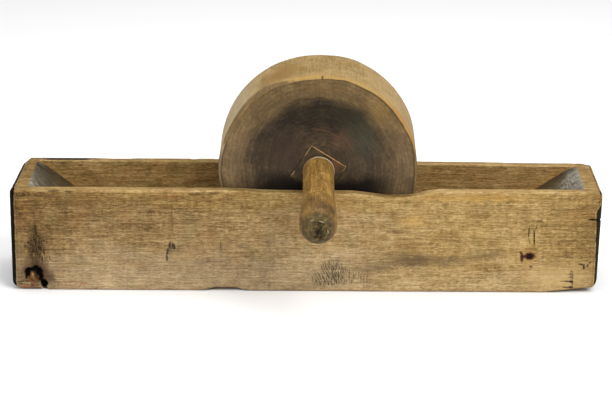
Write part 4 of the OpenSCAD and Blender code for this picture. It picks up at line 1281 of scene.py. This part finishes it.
def block_wood():
    """Dark end grain, nearly the colour of the wheel, darkened below as a painted shadow, with some worn arrises
    painted bright as a highlight where they face the light.
    """
    wood, tree, shader, place = new_wood("driven_block")
    own = wheel_place(tree, place)
    x, y, z = parts_of(tree, own)
    near = shaken(tree, own, 0.003, 0.0012)
    wide = shaken(tree, own, 0.008, 0.004, 3.0, 4.0)
    rings = use_group(tree, RINGS, {"Place": shift(tree, turned_grain(tree, own), (0, 0.030, 0.045)),
                                    "Spacing": 0.0026, "Wander": 0.012})
    level = total(tree, 0.38 - 0.5 * (0.5 + 0.4), (cells(tree, own, (0.010, 0.010, 0.010), 2.0, 4.0, 0.6), 0.5),
                  (cells(tree, own, (0.0016, 0.004, 0.0016), 5.0), 0.4), (rings["Late"], -0.10))
    base = shades(tree, level, FACE_SHADES)
    base = paint(tree, base, near, wide, 1.0, (
        ("soft", 19, 8, 12, 12, 0, 0.55, (104, 66, 42)),
        ("soft", -4, 22, 12, 7, 20, 0.35, (72, 60, 38)),
        ("soft", -18, 0, 10, 12, 0, 0.35, (50, 40, 30)),
        ("sharp", 6, 24, 13, 0.7, -32, 0.45, (120, 94, 60)),
    ))
    # Painted shadow: the lower part of the block turns nearly black, as on the wheel's face
    base = tint(tree, times(tree, span(tree, z, -0.004, -0.018), 0.85), base, srgb(14, 11, 8))
    edge = mark(tree, "edge")
    # Painted highlight: the pale arris colour goes only where the bevels face the light, mostly the upper edges; dim
    # holds it back on the lower edges and at a place upper left
    dim = maths(tree, "MAXIMUM", spot(tree, own, -20.5, 11.5, 13, 13, 0, 0.5), span(tree, z, -0.002, -0.0085))
    below = span(tree, total(tree, z, (x, 0.35)), 0.006, 0.013)
    lit = times(tree, maths(tree, "SUBTRACT", 1.0, times(tree, dim, 0.72)),
                maths(tree, "MAXIMUM", below, span(tree, x, -0.0255, -0.0290)))
    worn = times(tree, span(tree, edge, 0.30, 0.90, soft=False), lit, span(tree, cells(tree, own, (0.005, 0.005, 0.005), 1.9), 0.30, 0.55, 0.40, 0.90))
    base = tint(tree, worn, base, srgb(178, 138, 90))
    height = total(tree, 0.0, (cells(tree, own, (0.0012, 0.0012, 0.0012)), 0.5), (rings["Late"], -0.4))
    finish_wood(tree, shader, base, span(tree, edge, 0.0, 1.0, 0.66, 0.50), height, 0.00025)
    return wood


def tip_colour(tree, own, near):
    """The dirty end of a knob, which runs on over the spindle and the wedge: mottled grey
    green, with a few painted highlights and a black middle painted as the shade of its cracks."""
    level = total(tree, 0.48 - 0.5 * (0.86 + 0.26), (cells(tree, own, (0.0056, 0.006, 0.0056), 1.5, 4.0, 0.62), 0.86),
                  (cells(tree, own, (0.0020, 0.004, 0.0020), 6.1, 3.0, 0.6), 0.26))
    colour = shades(tree, level, TIP_SHADES)
    # Painted highlights: the pale marks along the top of the spindle's rim and at the right. Painted shade: the black
    # middle, in the cracks round the wedge
    return paint(tree, colour, near, near, 1.0, (
        ("sharp", -6.0, 10.5, 2.6, 1.4, 20, 0.46, (134, 130, 112)),
        ("sharp", 3.5, 9.5, 3.6, 0.8, -20, 0.60, (164, 156, 128)),
        ("sharp", 10.5, -2.0, 0.9, 3.0, 10, 0.60, (160, 146, 108)),
        ("sharp", 1.0, -1.5, 6.0, 4.6, 0, 0.74, (27, 25, 21)),
        ("sharp", 3.0, -9.0, 3.4, 2.2, 0, 0.60, (26, 22, 20)),
        ("sharp", -7.5, -7.0, 2.6, 2.6, 0, 0.40, (54, 50, 38)),
    ))


def handle_wood():
    """Turned and polished by hands: honey brown and olive along the grip, dirty at the knob's end,
    with a pale worn lip at the root."""
    wood, tree, shader, place = new_wood("hand_polished")
    own = wheel_place(tree, place)
    turned = turned_grain(tree, own)
    near = shaken(tree, own, 0.003, 0.0014)
    along = mark(tree, "along")
    grain = use_group(tree, GRAIN, {"Place": scaled(tree, turned, (1.0, 1.0, 1.0), 0.31)})
    rings = use_group(tree, RINGS, {"Place": shift(tree, turned, (0, 0.011, 0.020)), "Spacing": 0.0034, "Wander": 0.016})
    round_ = cells(tree, own, (0.05, 0.0022, 0.05), 8.1)
    cloudy = cells(tree, own, (0.012, 0.030, 0.012), 4.7, 4.0, 0.6)
    level = total(tree, 0.57, (grain["Tone"], 0.85), (cloudy, 0.66), (0.5, -0.66), (rings["Late"], -0.10),
                  (span(tree, along, 0.100, 0.178), -0.13),
                  (maths(tree, "SUBTRACT", round_, 0.5), 0.18), (span(tree, along, 0.030, 0.0), 0.04))
    base = shades(tree, level, GRIP_SHADES)
    base = tint(tree, times(tree, grain["Pore"], 0.30), base, srgb(52, 38, 20))
    base = tint(tree, times(tree, patches(tree, own, 0.020, 0.54, 0.10), 0.34), base, srgb(92, 78, 42))
    base = tint(tree, times(tree, patches(tree, shift(tree, own, (0.2, 0.1, 0.3)), 0.010, 0.54, 0.08), 0.30), base,
                srgb(140, 98, 44))
    ragged = maths(tree, "SUBTRACT", cells(tree, own, (0.010, 0.010, 0.010), 3.3, 4.0, 0.62), 0.5)
    x, _, z = parts_of(tree, own)
    far = put(tree, "ShaderNodeVectorMath", {0: scaled(tree, own, (1.0, 0.0, 1.0))}, operation="LENGTH").outputs["Value"]
    end = span(tree, total(tree, along, (ragged, 0.026), (x, -0.20)), 0.171, 0.188)
    end = times(tree, end, span(tree, total(tree, far, (ragged, 0.006)), 0.0196, 0.0160, 0.12, 1.0))
    base = tint(tree, times(tree, end, 0.95), base, tip_colour(tree, own, near))
    base = tint(tree, times(tree, mark(tree, "root"), 0.25), base, srgb(148, 104, 48))
    lip = times(tree, mark(tree, "lip"), span(tree, cells(tree, own, (0.012, 0.012, 0.012), 5.7, 3.0), 0.34, 0.56, 0.35, 0.85))
    base = tint(tree, times(tree, lip, span(tree, x, -0.0150, -0.0050, 0.12, 1.0)), base, srgb(166, 154, 128))
    rough = span(tree, end, 0.0, 1.0, 0.44, 0.64)
    height = total(tree, 0.0, (grain["Fine"], 0.5), (grain["Pore"], -0.4), (round_, 0.2))
    finish_wood(tree, shader, base, rough, height, 0.00022, span(tree, end, 0.0, 1.0, 0.16, 0.05))
    return wood


def spindle_wood():
    """The knob's dirt runs on over the spindle's end, with its check and the wedge's slot painted black as shade."""
    wood, tree, shader, place = new_wood("round_bar")
    own = wheel_place(tree, place)
    base = tip_colour(tree, own, shaken(tree, own, 0.003, 0.0014))
    # Painted shade: the slot and the check are painted nearly black by their depth
    base = tint(tree, times(tree, span(tree, mark(tree, "hole"), 0.35, 0.75), 0.85), base, srgb(12, 10, 8))
    height = cells(tree, own, (0.0009, 0.0009, 0.0009), 1.0)
    finish_wood(tree, shader, base, span(tree, height, 0.3, 0.7, 0.58, 0.76), height, 0.0003)
    return wood


def wedge_wood():
    """Crushed end grain, a little darker than the spindle round it."""
    wood, tree, shader, place = new_wood("crushed_wedge")
    own = wheel_place(tree, place)
    base = tip_colour(tree, own, shaken(tree, own, 0.003, 0.0014))
    base = tint(tree, 0.8, base, srgb(176, 166, 146), "MULTIPLY")
    height = cells(tree, own, (0.0007, 0.0007, 0.0007), 2.0)
    finish_wood(tree, shader, base, span(tree, height, 0.3, 0.7, 0.6, 0.8), height, 0.0003)
    return wood


# ---- Studio ----
def add_studio():
    """A plain pale floor, a soft key light from the front right, a fill and a pale sky."""
    mesh = bpy.data.meshes.new("floor")
    r = 20.0
    mesh.from_pydata([(-r, -r, 0), (r, -r, 0), (r, r, 0), (-r, r, 0)], [], [(0, 1, 2, 3)])
    paint = bpy.data.materials.new("pale_floor")
    paint.use_nodes = True
    shader = paint.node_tree.nodes["Principled BSDF"]
    shader.inputs["Base Color"].default_value = (0.86, 0.86, 0.86, 1)
    shader.inputs["Roughness"].default_value = 0.9
    shader.inputs["Specular IOR Level"].default_value = 0.1
    mesh.materials.append(paint)
    floor = bpy.data.objects.new("floor", mesh)
    bpy.context.scene.collection.objects.link(floor)
    for name, at, aim, size, power in (("key", (1.15, -1.7, 1.9), (0.05, 0, 0.10), 1.5, 62),
                                       ("fill", (-1.7, -1.6, 1.3), (0, 0, 0.10), 1.8, 22),
                                       ("top", (0.1, 0.5, 2.2), (0, 0, 0.10), 1.6, 26)):
        light = bpy.data.lights.new(name, "AREA")
        light.size, light.energy = size, power
        lamp = bpy.data.objects.new(name, light)
        lamp.matrix_world = Matrix.Translation(at) @ (Vector(aim) - Vector(at)).to_track_quat("-Z", "Y").to_matrix().to_4x4()
        bpy.context.scene.collection.objects.link(lamp)
    world = bpy.data.worlds.new("pale_sky")
    world.use_nodes = True
    world.node_tree.nodes["Background"].inputs["Color"].default_value = (1, 1, 1, 1)
    world.node_tree.nodes["Background"].inputs["Strength"].default_value = 0.55
    bpy.context.scene.world = world
    bpy.context.scene.view_settings.view_transform = "Standard"


add_camera()
add_studio()
make_trough(trough_wood())
make_wheel(wheel_wood())
make_block(block_wood())
HANDLE_WOOD = handle_wood()
make_handle(-1, "front_grip", "front_handle", HANDLE_WOOD, 31)
make_handle(1, "rear_grip", "rear_handle", HANDLE_WOOD, 35)
make_spindle(spindle_wood())
WEDGE_WOOD = wedge_wood()
make_wedge(-1, "front_end_wedge", "front_wedge", WEDGE_WOOD)
make_wedge(1, "rear_end_wedge", "rear_wedge", WEDGE_WOOD)
